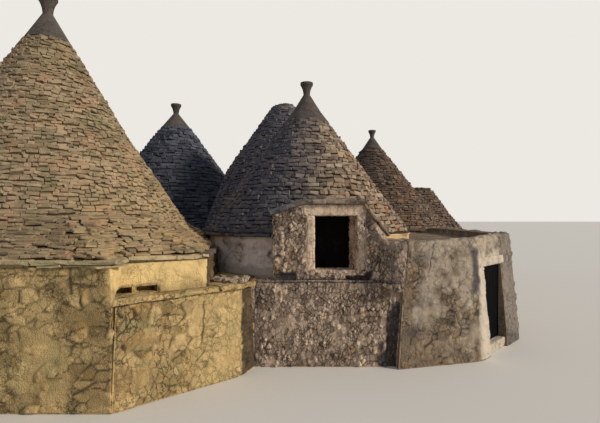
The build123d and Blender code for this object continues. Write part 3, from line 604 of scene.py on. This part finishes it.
def planLine(points):
    # a plan line as its length and a rule for the point and the outward side at a distance along it
    points = [Vector((*p, 0)) for p in points]
    ends = [0]
    for a, b in zip(points, points[1:]):
        ends.append(ends[-1] + (b - a).length)

    def pointAt(distance):
        distance = min(max(distance, 0), ends[-1])
        index = min(bisect.bisect_right(ends, distance), len(ends) - 1)
        share = (distance - ends[index - 1]) / (ends[index] - ends[index - 1])
        return points[index - 1].lerp(points[index], share)

    def at(distance, reach=0.12):
        along = (pointAt(distance + reach) - pointAt(distance - reach)).normalized()
        return pointAt(distance), Vector((along.y, -along.x, 0))

    return {"length": ends[-1], "at": at}


def arc(axis, radius, start, end):
    # plan points on an arc, with its bearings in degrees
    count = max(int(abs(end - start) / 4), 2)
    turns = [math.radians(start + (end - start) * i / count) for i in range(count + 1)]
    return [(axis[0] + radius * math.cos(t), axis[1] + radius * math.sin(t)) for t in turns]


def layRow(name, line, material, look):
    # flat slabs laid end to end along a plan line, with the outside on its right
    rng = random.Random(look["seed"])
    mesh = bmesh.new()
    mesh.verts.layers.float.new("stoneTone")
    track = planLine(line)
    along = 0
    while along < track["length"] - 0.05:
        length = min(look["stone"] * rng.uniform(*look["stones"]), track["length"] - along)
        foot, outward = track["at"](along + length / 2, length * 0.4)
        along += length
        if rng.random() < look["missing"]:
            continue
        thick = look["thick"] * rng.uniform(*look["thicks"])
        deep = look["deep"] * rng.uniform(*look["deeps"])
        place = foot + outward * (rng.uniform(*look["proud"]) - deep / 2)
        place.z = look["level"] + rng.gauss(0, 0.004)
        if hidden(place + outward * (deep / 2), look["own"]):
            continue
        pose = (Matrix.Translation(place) @ standing(Vector((outward.y, -outward.x, 0)), outward)
                @ Matrix.Rotation(rng.gauss(0, 0.02), 4, "X") @ Matrix.Rotation(rng.gauss(0, 0.05), 4, "Z")
                @ Matrix.Rotation(rng.gauss(0, 0.012), 4, "Y"))
        slab = bmesh.new()
        tone = slab.verts.layers.float.new("stoneTone")
        bmesh.ops.create_cube(slab, size=1, matrix=pose @ Matrix.Diagonal((length * 0.985, deep, thick, 1)))
        bmesh.ops.bevel(slab, geom=slab.edges[:], offset=look["worn"], affect="EDGES", segments=1,
                        profile=0.5, material=-1)
        bmesh.ops.subdivide_edges(slab, edges=[e for e in slab.edges if e.calc_length() > 0.1], cuts=2,
                                  use_grid_fill=True)
        shade = rng.random()
        for vert in slab.verts:
            vert[tone] = shade
            vert.co += jitter(rng, look["rough"])
        addInto(mesh, slab)
    finished(name, mesh, material)


def fromLine(point, start, end):
    # distance in elevation from a point to a line between two places, each given as X and level
    run, rise = end[0] - start[0], end[1] - start[1]
    share = ((point.x - start[0]) * run + (point.z - start[1]) * rise) / (run * run + rise * rise)
    share = min(max(share, 0), 1)
    return math.hypot(point.x - start[0] - run * share, point.z - start[1] - rise * share)


def rubbleRelief(point, look, plaster):
    # how far rubble stands out at a point, its stone's tone and how open its joint is
    warped = point + noise.noise_vector(point * look["bend"]) * look["stone"] * 0.3
    near, centres = noise.voronoi(Vector((warped.x / look["stone"], warped.y / look["stone"],
                                          warped.z / look["course"])))
    # most joints are filled flush with mortar, the others stand open
    bare = smooth((noise.noise(point * 1.9) + noise.noise(point * 6.1) * 0.7 + look["bare"]) * 2.2)
    gap = (1 - smooth((near[1] - near[0]) / look["joint"])) * (0.12 + 0.88 * bare)
    split = 0
    for start, end, wide in look["cracks"]:
        off = fromLine(point + noise.noise_vector(point * 7) * 0.025, start, end)
        split = max(split, 1 - smooth(off / wide))
    shade = noise.cell(centres[0] * 17.3)
    knob = min(noise.voronoi(warped / look["knob"])[0][0], 0.6)
    swell = ((shade - 0.5) - near[0] * 0.7) * look["swell"] - gap * look["sink"]
    swell += cloud(point, 9, 0.75, 4) * look["grit"] - knob * look["knobby"]
    flatness = 1 - 0.8 * plaster ** 2
    depth = max(look["proud"] + swell * flatness - split * look["proud"], 0.004)
    return depth, (shade * 1.6 - 0.7) * flatness * look["tones"], max(gap * flatness ** 2, split)


def wrapFacing(name, cover, line, material, look, paint=None):
    # a skin of rubble over CAD walls: a grid bent along a plan line and set against the walls by rays
    surface = caster(*cover)
    track = planLine(line)
    mesh = bmesh.new()
    tone, joint, wash, stainAndShade = [mesh.verts.layers.float.new(n) for n in ("stoneTone", "gap", "wash", "stainAndShade")]
    rise = look["top"] - look["bottom"]
    bmesh.ops.create_grid(mesh, x_segments=max(round(track["length"] / look["grain"]), 2),
                          y_segments=max(round(rise / look["grain"]), 2), size=0.5)
    lost, sides, depths, tops, columns = [], {}, {}, {}, {}
    for vert in sorted(mesh.verts, key=lambda v: (round(v.co.x, 5), v.co.y)):
        column = columns[vert] = round(vert.co.x, 5)
        foot, outward = track["at"]((vert.co.x + 0.5) * track["length"])
        level = look["bottom"] + (vert.co.y + 0.5) * rise
        start = Vector((foot.x, foot.y, level)) + outward * 0.5
        hit = surface.ray_cast(start, -outward, 0.5 + look["reach"])[0]
        facing = outward
        if hit:
            tops[column] = hit
        elif column in tops and look["over"] > level - tops[column].z:
            # past the top of the wall the skin turns in over it
            inward = level - tops[column].z
            above = tops[column] - outward * inward + upward * 0.2
            hit = surface.ray_cast(above, -upward, 0.3)[0]
            facing = (outward * max(1 - inward / 0.06, 0) + upward).normalized()
        if hit is None or hidden(hit + outward * 0.01, look["own"]):
            lost.append(vert)
            continue
        # a paint gives limewash and a darkening, which holds stains and painted shade
        plaster, dirtAndShade = paint(hit) if paint else (0, 0)
        depth, vert[tone], vert[joint] = rubbleRelief(hit, look, plaster)
        vert.co = hit + facing * depth
        if look["forward"]:
            vert.co += outward * look["forward"](hit)
        vert[wash], vert[stainAndShade] = plaster, dirtAndShade
        sides[vert], depths[vert] = facing, depth
    bmesh.ops.delete(mesh, geom=lost, context="VERTS")
    torn = [f for f in mesh.faces
            if max(e.calc_length() for e in f.edges) > look["grain"] * look["torn"]
            and f.calc_center_median().z > look["bridged"]]
    bmesh.ops.delete(mesh, geom=torn, context="FACES")
    butted = (min(columns.values()), max(columns.values())) if look["butt"] else ()
    for vert in mesh.verts:
        if vert.is_boundary and columns[vert] not in butted:
            # the edge of the skin is let into the wall
            vert.co -= sides[vert] * (depths[vert] + look["letIn"])
    shadeSmooth(mesh)
    print(name, "faces", len(mesh.faces), round(time.time() - started, 1))
    finished(name, mesh, material)


def spreadTop(name, node, span, material, look, paint=None):
    # worn lime and earth on a flat top: a grid dropped on the CAD from above
    surface = caster(node)
    (left, front), (right, back) = span
    mesh = bmesh.new()
    tone, wash, stainAndShade = [mesh.verts.layers.float.new(n) for n in ("stoneTone", "wash", "stainAndShade")]
    bmesh.ops.create_grid(mesh, x_segments=round((right - left) / look["grain"]),
                          y_segments=round((back - front) / look["grain"]), size=0.5)
    lost = []
    for vert in mesh.verts:
        above = Vector((left + (vert.co.x + 0.5) * (right - left), front + (vert.co.y + 0.5) * (back - front),
                        look["above"]))
        hit = surface.ray_cast(above, -upward, look["above"])[0]
        if hit is None or hit.z < look["lowest"] or hidden(hit + upward * 0.01, look["own"]):
            lost.append(vert)
            continue
        plaster, dirtAndShade = paint(hit) if paint else (0, 0)
        depth, vert[tone], _ = rubbleRelief(hit, look, plaster)
        vert.co = hit + upward * depth
        vert[wash], vert[stainAndShade] = plaster, dirtAndShade
    bmesh.ops.delete(mesh, geom=lost, context="VERTS")
    for vert in mesh.verts:
        if vert.is_boundary:
            vert.co.z -= look["letIn"]
    shadeSmooth(mesh)
    finished(name, mesh, material)


def wornStone(name, material, look):
    # a CAD stone remeshed fine, its edges rounded and its faces pitted, which stands for the node
    mesh = bmesh.new()
    mesh.from_mesh(nodes[name].data)
    bmesh.ops.remove_doubles(mesh, verts=mesh.verts, dist=0.0001)
    block = finished(f"{name}_worn", mesh, material)
    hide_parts(name)
    remesh = block.modifiers.new("remesh", "REMESH")
    remesh.mode = "VOXEL"
    remesh.voxel_size = look["grain"]
    fine = bpy.data.meshes.new_from_object(block.evaluated_get(bpy.context.evaluated_depsgraph_get()))
    block.modifiers.remove(remesh)
    mesh = bmesh.new()
    mesh.from_mesh(fine)
    bpy.data.meshes.remove(fine)
    for _ in range(2):
        bmesh.ops.smooth_vert(mesh, verts=mesh.verts, factor=0.5,
                              use_axis_x=True, use_axis_y=True, use_axis_z=True)
    mesh.normal_update()
    for vert in mesh.verts:
        chipped = smooth(cloud(vert.co, 6) * 2 - 0.5) * look["chip"]
        vert.co += vert.normal * (cloud(vert.co, 14) * look["rough"] - chipped + look["grow"])
    shadeSmooth(mesh)
    mesh.to_mesh(block.data)
    mesh.free()


# Facings of rubble. A crack is given by its two ends, each as X and level, and its width. over is how far
# a facing turns in over its wall, butt lets its two ends meet another, and forward pushes it out. A face
# with an edge of more than torn grains is left out, except below the level bridged, and letIn is how far
# the facing's edges go into the wall.
rubble = {
    "grain": 0.02, "stone": 0.15, "course": 0.1, "bend": 3.0, "joint": 0.16, "proud": 0.034, "bare": 0.12,
    "swell": 0.055, "sink": 0.028, "grit": 0.022, "knob": 0.05, "knobby": 0.018, "tones": 1, "reach": 0.4,
    "bottom": 0.0, "over": 0, "torn": 4.5, "bridged": 0, "letIn": 0.02, "butt": False, "forward": None,
    "cracks": (),
}
leftLine = [(-9.05, -1.34), (-8.3, -4.93), (-2.86, -4.96), (-2.9, -4.5), (-1.79, -3.68), (-2.2, 0.3)]
terraceLine = [(-2.86, -4.955), (-1.23, -3.46), (-1.02, -2.96)]
doorCorner, sideCorner = (3.39, -2.64), (4.93, -1.0)
doorAlong = Vector((sideCorner[0] - doorCorner[0], sideCorner[1] - doorCorner[1])).normalized()
entryLine = [(1.64, -3.11), doorCorner, sideCorner, (5.26, 4.7), (4.9, 5.45), (1.64, 5.9)]


# The dictionaries before the paints say where on the walls each begins and ends, in metres, as X, Y or level
limewash = {"x": -2.95, "level": 1.5, "footLevel": 1.78, "gapX": -2.6, "gapY": -3.62}


def limewashed(point):
    # the left trullo's wall above the terrace keeps its yellow limewash, but not in the gap at its right,
    # whose wall is painted dark as shade
    share = smooth((point.x - limewash["x"]) / 0.06) if point.z > limewash["level"] else 0
    worn = smooth((noise.noise(point * 2.3) + 0.25) * 3)
    rest = smooth((cloud(point, 1.7) + 0.3) * 1.5) * 0.4
    # painted shade on the wall in the gap
    between = smooth((point.y - limewash["gapY"]) / 0.08) if point.x > limewash["gapX"] else 0
    foot = share * smooth((limewash["footLevel"] - point.z) / 0.15) * 0.35
    return max(share * (0.7 + 0.3 * worn), rest) * (1 - between), max(foot, between * 0.8)


drum = {"footLevel": 1.86, "rim": 2.53}


def rendered(point):
    # the centre trullo's drum is plastered all over, and stained in patches and at its foot
    foot = smooth((drum["footLevel"] - point.z + noise.noise(point * 4) * 0.06) / 0.12) * 0.6
    bright = smooth(cloud(point, 2.1, octaves=4) + 0.85)
    return bright, max(smooth(cloud(point, 2.4, 0.9, finer=2.2) * 1.6 - 0.3) * 0.35, foot * 0.5)


def rimFill(point):
    # the plaster beside the bay runs straight down from the rim of the roof
    return max(drum["rim"] - math.hypot(point.x, point.y), 0)


terraceWash = {"x": -2.3, "shadedEndX": -1.235}


def shaded(point):
    # the terrace keeps some limewash, none on its end, which is painted dark as shade
    end = smooth((point.x - terraceWash["shadedEndX"] + noise.noise(point * 4) * 0.02) / 0.03)
    return smooth((point.x - terraceWash["x"]) / 0.6) * 0.4 * (1 - end), end * 0.95


cornerLook = {"y": -2.8, "x": 1.05, "wide": 0.6, "out": 0.32, "entryX": 1.64, "wallX": 1.72, "level": 1.2}


def cornerFill(point):
    # beside the bay the rubble comes forward until it is flush with the entry's wall, but not low down
    # and not under the slope of the bay's cover
    flush = cornerLook["y"] - cornerLook["out"] * smooth((point.x - cornerLook["x"]) / cornerLook["wide"])
    flush += 0.27 * max(point.x - cornerLook["entryX"], 0) + 0.25 * max(point.x - cornerLook["wallX"], 0)
    low = 1 - smooth((point.z - cornerLook["level"]) / 0.25)
    slope = coverLevel(min(max(point.x, 0), bay["right"]))
    return max(point.y - flush - low, 0) * smooth((slope - point.z) / 0.25)


hollows = {"spans": ((-0.74, -0.2), (0.64, 1.22)), "level": 1.66, "half": 0.13}


def hollowShade(point):
    # painted shade in and round the two hollows under the foot of the bay
    ragged = noise.noise(point * 9) * 0.03
    across = max(smooth((point.x - start) / 0.25) * smooth((end - point.x + ragged) / 0.06)
                 for start, end in hollows["spans"])
    return 0, across * smooth((hollows["half"] - abs(point.z - hollows["level"]) + ragged) / 0.04)


shadeAndDampLook = {"leftX": -0.75, "cornerX": 1.26, "cornerLevel": 1.36, "shadeX": 1.4, "ledge": 1.6}


def shadeAndDamp(point):
    # painted shade at the left end, on the ledge, towards the entry and round the hollows; damp rising, with
    # painted shade, in the corner beside the entry
    edge = noise.noise(point * 3) * 0.12 + cloud(point, 8) * 0.06
    corner = smooth((point.x - shadeAndDampLook["cornerX"] - point.z * 0.16 + edge) / 0.12)
    corner *= smooth((shadeAndDampLook["cornerLevel"] - point.z + edge) / 0.2)
    left = smooth((shadeAndDampLook["leftX"] - point.x + edge * 2) / 0.3) * 0.55
    ledge = smooth((0.045 - abs(point.z - shadeAndDampLook["ledge"])) / 0.02) * 0.8
    shade = smooth((point.x - shadeAndDampLook["shadeX"]) / 0.2) * 0.3
    return 0, max(corner * 0.9, left, ledge, shade, hollowShade(point)[1])


entryLook = {"x": 2.3, "fullX": 3.2, "level": 1.3, "footLevel": 0.5, "sideY": -1.05, "pastDoor": 1.3,
             "whiteX": 3.31, "whiteLevel": 1.92, "runX": 3.3, "runLevels": (1.2, 2.25)}


def plastered(point):
    # smooth plaster high on the wall, rubble where it has come off, whitewash round the door, one dark run,
    # and painted shade on the wall past the door
    fuller = (min(point.x, entryLook["fullX"]) - entryLook["x"]) * 0.4 + (point.z - entryLook["level"]) * 0.25
    share = smooth((cloud(point, 1.4, 0.9) + 0.3 + fuller) * 1.5)
    foot = smooth((entryLook["footLevel"] - point.z + noise.noise(point * 2) * 0.2) / 0.4) * 0.8
    aside = smooth((point.y - entryLook["sideY"]) / 0.5)  # 0 on the door's wall, 1 on the side wall
    along = (point.x - doorCorner[0]) * doorAlong.x + (point.y - doorCorner[1]) * doorAlong.y
    ragged = noise.noise(point * 5) * 0.04
    beyond = smooth((along - entryLook["pastDoor"]) / 0.1)  # the wall past the door is painted greyer, as shade
    high = smooth((point.z - entryLook["whiteLevel"] + ragged * 3) / 0.25)  # little is left above the door
    white = smooth((point.x + ragged - entryLook["whiteX"]) / 0.09)
    white *= (1 - 0.5 * beyond) * (1 - 0.6 * high) * (1 - aside)
    low, top = entryLook["runLevels"]
    run = smooth(1.4 - abs(point.x - entryLook["runX"] + ragged) / 0.09)
    run *= smooth((point.z - low + ragged * 3) / 0.3) * smooth((top - point.z) / 0.12)
    darkening = smooth(cloud(point, 2.2) * 1.5 - 0.2) * 0.5
    # painted shade past the door, less of it on the side wall
    grey = beyond * 0.55 * (1 - aside * 0.6)
    return max(share * 0.48, white * 0.95), max(run * 0.98, darkening * (1 - white * 0.5), grey, foot * beyond)


wrapFacing("left_wall_facing", ("left_wall_front", "left_wall_back"), leftLine, leftRubble, {
    **rubble, "own": "left", "top": 2.1, "grain": 0.023, "stone": 0.24, "course": 0.15, "swell": 0.06,
    "sink": 0.035, "proud": 0.04, "knob": 0.07, "bare": 0.2, "joint": 0.12, "cracks": (
        ((-3.44, 2.16), (-3.42, 1.72), 0.055), ((-3.42, 1.84), (-3.05, 1.82), 0.035),
        ((-3.04, 2.1), (-3.02, 1.84), 0.025), ((-3.3, 1.8), (-3.26, 1.5), 0.03),
        ((-4.3, 1.98), (-3.45, 1.96), 0.015))}, limewashed)
wrapFacing("left_terrace_facing", ("left_terrace",), terraceLine, leftRubble, {
    **rubble, "own": "terrace", "top": 1.62, "over": 0.06, "butt": True, "stone": 0.24, "course": 0.18,
    "knob": 0.08, "joint": 0.1, "cracks": (
        ((-2.6, 1.36), (-2.85, 0.98), 0.018), ((-2.84, 1.46), (-2.78, 1.34), 0.05),
        ((-2.66, 1.44), (-2.62, 1.33), 0.04), ((-1.76, 1.4), (-1.79, 0.75), 0.022))}, shaded)
bayRubble = {**rubble, "own": "bay", "top": 3.0, "course": 0.12, "stone": 0.08, "bare": 0.45}
wrapFacing("front_facing", ("front_terrace", "bay_wall"), [(-1.02, -2.96), (1.98, -2.96)], frontRubble, {
    **bayRubble, "over": 0.12, "grain": 0.015, "bridged": 1.76, "forward": cornerFill, "butt": True,
    # the first two cracks are wide bands of painted shade round the bay's hollows
    "cracks": (((-0.62, 1.69), (-0.28, 1.69), 0.13), ((0.78, 1.69), (1.1, 1.69), 0.11),
               ((1.62, 1.95), (1.72, 1.45), 0.02), ((1.5, 1.2), (1.46, 0.3), 0.03))}, shadeAndDamp)
for name, line in (("bay_left_facing", [(-0.685, -1.9), (-0.685, -2.8), (-0.6, -2.8)]),
                   ("bay_right_facing", [(1.47, -2.8), (1.47, -1.6)])):
    wrapFacing(name, ("bay_wall",), line, frontRubble, {**bayRubble, "bottom": 1.6})
centrePlaster = {**rubble, "own": "centre", "proud": 0.014}
wrapFacing("centre_drum_facing", ("centre_wall_left", "centre_wall_right"), arc((0, 0), 2.42, -160, -75),
           drumPlaster, {**centrePlaster, "bottom": 1.6, "top": 2.41}, rendered)
wrapFacing("centre_strip_facing", ("centre_roof", "centre_wall_left", "centre_wall_right"),
           arc((0, 0), 2.46, -60, -18), stripPlaster,
           {**centrePlaster, "bottom": 2.2, "top": 2.46, "forward": rimFill}, rendered)
wrapFacing("entry_facing", ("entry_front_wall", "entry_side_wall", "entry_upper_wall", "entry_roof"),
           entryLine, entryPlaster, {
               **rubble, "own": "entry", "top": 2.66, "over": 0.16, "reach": 0.45, "grain": 0.024,
               "swell": 0.035, "stone": 0.18, "course": 0.14, "cracks": (
                   ((2.42, 2.3), (2.3, 1.75), 0.014), ((2.75, 1.15), (2.95, 0.6), 0.02),
                   ((2.55, 0.85), (2.9, 0.95), 0.014))},
           plastered)
for name in ("rear_centre", "rear_left", "rear_right", "far_right"):
    cone = cones[name]
    walls = [n for n in nodes if n.startswith(f"{name}_wall")]
    wrapFacing(f"{name}_drum_facing", walls, arc(cone["axis"], cone["foot"][0] - overhang, 0, 360),
               frontRubble, {**rubble, "own": name, "top": cone["foot"][1] - 0.06, "grain": 0.045,
                             "stone": 0.24, "course": 0.16, "tones": 0.5})

# Lime and earth on the flat tops, worn nearly smooth; nothing is laid on what is lower than lowest
earth = {**rubble, "grain": 0.035, "stone": 0.3, "course": 0.3, "proud": 0.006, "swell": 0.012,
         "sink": 0.004, "knobby": 0.004, "grit": 0.008, "letIn": 0.05, "above": 9, "own": "terrace",
         "lowest": 1.5}
spreadTop("left_terrace_top", "left_terrace", ((-3.1, -5.0), (-0.7, -0.6)), leftRubble, earth, shaded)
spreadTop("front_terrace_top", "front_terrace", ((-1.32, -3.0), (2.0, -1.5)), frontRubble, earth, hollowShade)
spreadTop("entry_roof_top", "entry_roof", ((1.5, -3.2), (5.4, 6.0)), entryPlaster,
          {**earth, "own": "entry", "lowest": 2.1, "grain": 0.05})

# Lime and rubble that fill the valley between the two centre trulli and the edge of the entry's roof
valley = {"low": (1.0, 1.3), "high": (1.75, 3.3), "grain": 0.035, "level": 2.3, "inside": 0.15}
mesh = bmesh.new()
tone = mesh.verts.layers.float.new("stoneTone")
spanX, spanY = [b - a for a, b in zip(valley["low"], valley["high"])]
bmesh.ops.create_grid(mesh, x_segments=round(spanX / valley["grain"]),
                      y_segments=round(spanY / valley["grain"]), size=0.5)
for vert in mesh.verts:
    vert.co = Vector((valley["low"][0] + (vert.co.x + 0.5) * spanX,
                      valley["low"][1] + (vert.co.y + 0.5) * spanY, valley["level"]))
    depth, vert[tone], _ = rubbleRelief(vert.co, earth, 0)
    vert.co.z += depth * 2
buried = [v for v in mesh.verts if hidden(v.co, "valley", valley["inside"])]
bmesh.ops.delete(mesh, geom=buried, context="VERTS")
shadeSmooth(mesh)
finished("valley_fill", mesh, frontRubble)
print("tops", round(time.time() - started, 1))

# Stones that are seen singly: those of the window and the door, and the bay's cover
worn = {"grain": 0.013, "rough": 0.008, "chip": 0.014, "grow": 0.004}
for name in ("window_left_jamb", "window_lintel"):
    wornStone(name, cutStone, worn)
for name in ("window_right_jamb", "window_sill"):
    wornStone(name, frontRubble, {**worn, "rough": 0.014, "chip": 0.022})
wornStone("bay_cover", centreSlabs, {"grain": 0.026, "rough": 0.016, "chip": 0.03, "grow": 0.002})
for name in ("door_lintel", "door_threshold"):
    wornStone(name, whitewash, {**worn, "grain": 0.018, "chip": 0.008})
print("cut stones", round(time.time() - started, 1))

# Lime at the centre trullo's tip runs down over its last courses, with a ragged lower edge let in
cap = {"low": 5.16, "high": 5.44, "proud": 0.012, "uneven": 0.014, "ragged": 0.07, "letIn": 0.04}
mesh = bmesh.new()
bmesh.ops.create_cone(mesh, cap_ends=False, segments=72,
                      radius1=coneRadius(cones["centre"], cap["low"]) + cap["proud"],
                      radius2=coneRadius(cones["centre"], cap["high"]) + cap["proud"],
                      depth=cap["high"] - cap["low"],
                      matrix=Matrix.Translation((0, 0, (cap["low"] + cap["high"]) / 2)))
slopes = [e for e in mesh.edges if abs(e.verts[0].co.z - e.verts[1].co.z) > 0.1]
bmesh.ops.subdivide_edges(mesh, edges=slopes, cuts=9, use_grid_fill=True)
for vert in mesh.verts:
    outward = Vector((vert.co.x, vert.co.y, 0)).normalized()
    vert.co += outward * cloud(vert.co, 6, octaves=4) * cap["uneven"]
    if vert.co.z < cap["low"] + 0.005:
        vert.co.z += noise.noise(vert.co * 4) * cap["ragged"]
        vert.co -= outward * cap["letIn"]
shadeSmooth(mesh)
finished("centre_tip_render", mesh, limePlaster)

# Flat slabs at the feet of the roofs; stones, thicks and deeps are how much their sizes vary
eave = {"thick": 0.055, "deep": 0.34, "stone": 0.27, "proud": (-0.01, 0.035), "rough": 0.009,
        "worn": 0.009, "missing": 0, "stones": (0.6, 1.5), "thicks": (0.8, 1.2), "deeps": (0.85, 1.1),
        "seed": 30}
for name, cone in cones.items():
    if name != "left":
        # the centre trullo's eave stops short of the strip of bright plaster beside the bay
        sweep = (-20, 302) if name == "centre" else (0, 360)
        layRow(f"{name}_eave", arc(cone["axis"], cone["foot"][0] + 0.06, *sweep), finishes[f"{name}_roof"],
               {**eave, "level": cone["foot"][1] - 0.03, "own": name})

# Eaves of the left trullo, whose roof runs out to corners, the crest on its skirt and the terrace's coping
leftEave = {**eave, "level": 2.15, "thick": 0.06, "deep": 0.4, "own": "left"}
broad = {**leftEave, "stone": 0.5, "rough": 0.013}
corner, backCorner = (-1.72, -3.71), (-2.14, 0.3)
eaveLine = [(-9.11, -1.4), (-8.36, -4.99), (-2.80, -5.02), (-2.84, -4.53), corner]
layRow("left_eave", eaveLine, eaveSlabs, {**broad, "deep": 0.45, "seed": 31})
# the side eave, over the gap beside the centre trullo, is laid in the darker rear slabs as painted shade
layRow("left_eave_side", [corner, backCorner], rearSlabs, {**leftEave, "stone": 0.4, "seed": 36})
layRow("left_eave_back", [backCorner] + arc(cones["left"]["axis"], 3.34, 52, 194), eaveSlabs,
       {**broad, "seed": 32})
layRow("left_crest", [(-4.0, -3.85), (-3.1, -2.83), (-2.9, -2.3)], leftSlabs,
       {**leftEave, "level": 2.775, "thick": 0.05, "stone": 0.26, "deep": 0.36, "seed": 35})
layRow("left_eave_low", eaveLine, eaveSlabs, {
    **leftEave, "level": 2.1, "thick": 0.04, "stone": 0.38, "proud": (-0.05, 0.0), "missing": 0.25,
    "seed": 34, "rough": 0.01})
layRow("terrace_coping", terraceLine, leftRubble, {
    **eave, "thick": 0.075, "deep": 0.5, "stone": 0.55, "level": 1.575, "own": "terrace", "seed": 33,
    "rough": 0.016})

# Slabs over the window bay, laid up its slopes in rows from front to back
coverLook = {"from": -0.76, "to": 1.52, "front": -2.74, "rows": 5, "row": 0.19, "stone": 0.2, "thick": 0.05,
             "deep": 0.26, "rough": 0.01, "overlap": 0.06, "climb": 0.012, "dip": 0.12, "rim": 0.012,
             "proud": 0.006, "stones": (0.6, 1.5), "thicks": (0.7, 1.3), "tones": (-0.7, 1), "seed": 40}
rng = random.Random(coverLook["seed"])
surface = caster("bay_cover")
mesh = bmesh.new()
tone = mesh.verts.layers.float.new("stoneTone")
for row in range(coverLook["rows"]):
    along = coverLook["from"]
    while along < coverLook["to"]:
        length = coverLook["stone"] * rng.uniform(*coverLook["stones"])
        deepIn = coverLook["front"] + row * coverLook["row"] + rng.uniform(-0.03, 0.02)
        hit, normal = surface.ray_cast(Vector((along + length / 2, deepIn, 4)), -upward, 3)[:2]
        along += length * (1 - coverLook["overlap"])
        if hit is None or normal.z <= 0.5 or hidden(hit + upward * 0.02, "bay"):
            continue
        normal = (normal + Vector((0, -coverLook["dip"], 0))).normalized()
        across = Vector((1, 0, 0)).cross(normal).normalized()
        pose = (Matrix.Translation(hit + normal * (row * coverLook["climb"]))
                @ standing(across.cross(normal).normalized(), across, normal)
                @ Matrix.Rotation(rng.gauss(0, 0.06), 4, "Z") @ Matrix.Rotation(rng.gauss(0, 0.04), 4, "Y"))
        thick = coverLook["thick"] * rng.uniform(*coverLook["thicks"])
        size = Matrix.Diagonal((length, coverLook["deep"], thick, 1))
        shade = rng.uniform(*coverLook["tones"])
        for vert in bmesh.ops.create_cube(mesh, size=1, matrix=pose @ size)["verts"]:
            vert[tone] = shade
            vert.co += jitter(rng, coverLook["rough"])
bmesh.ops.recalc_face_normals(mesh, faces=mesh.faces)
bmesh.ops.inset_individual(mesh, faces=mesh.faces[:], thickness=coverLook["rim"], depth=coverLook["proud"])
finished("bay_cover_slabs", mesh, centreSlabs)

# Loose stones lying on the end of the left terrace
looseLook = {"count": 26, "size": (0.03, 0.09), "x": (-1.75, -1.2), "y": (-3.35, -2.6), "sunk": 0.4,
             "long": 1.5, "flat": 0.6, "tones": (-0.7, 1), "seed": 50}
rng = random.Random(looseLook["seed"])
surface = caster("left_terrace")
mesh = bmesh.new()
tone = mesh.verts.layers.float.new("stoneTone")
for _ in range(looseLook["count"]):
    place = Vector((rng.uniform(*looseLook["x"]), rng.uniform(*looseLook["y"]), 3))
    hit = surface.ray_cast(place, -upward, 2)[0]
    if hit is None:
        continue
    radius = rng.uniform(*looseLook["size"])
    place = Matrix.Translation(hit + upward * (radius * looseLook["sunk"]))
    size = Matrix.Diagonal((radius * looseLook["long"], radius, radius * looseLook["flat"], 1))
    pose = place @ Matrix.Rotation(rng.uniform(0, 6), 4, "Z") @ size
    shade = rng.uniform(*looseLook["tones"])
    for vert in bmesh.ops.create_icosphere(mesh, subdivisions=2, radius=1, matrix=pose)["verts"]:
        vert[tone] = shade
        vert.co += noise.noise_vector(vert.co * 14) * radius * 0.3
finished("terrace_loose_stones", mesh, frontRubble)
print("rows and stones", round(time.time() - started, 1))
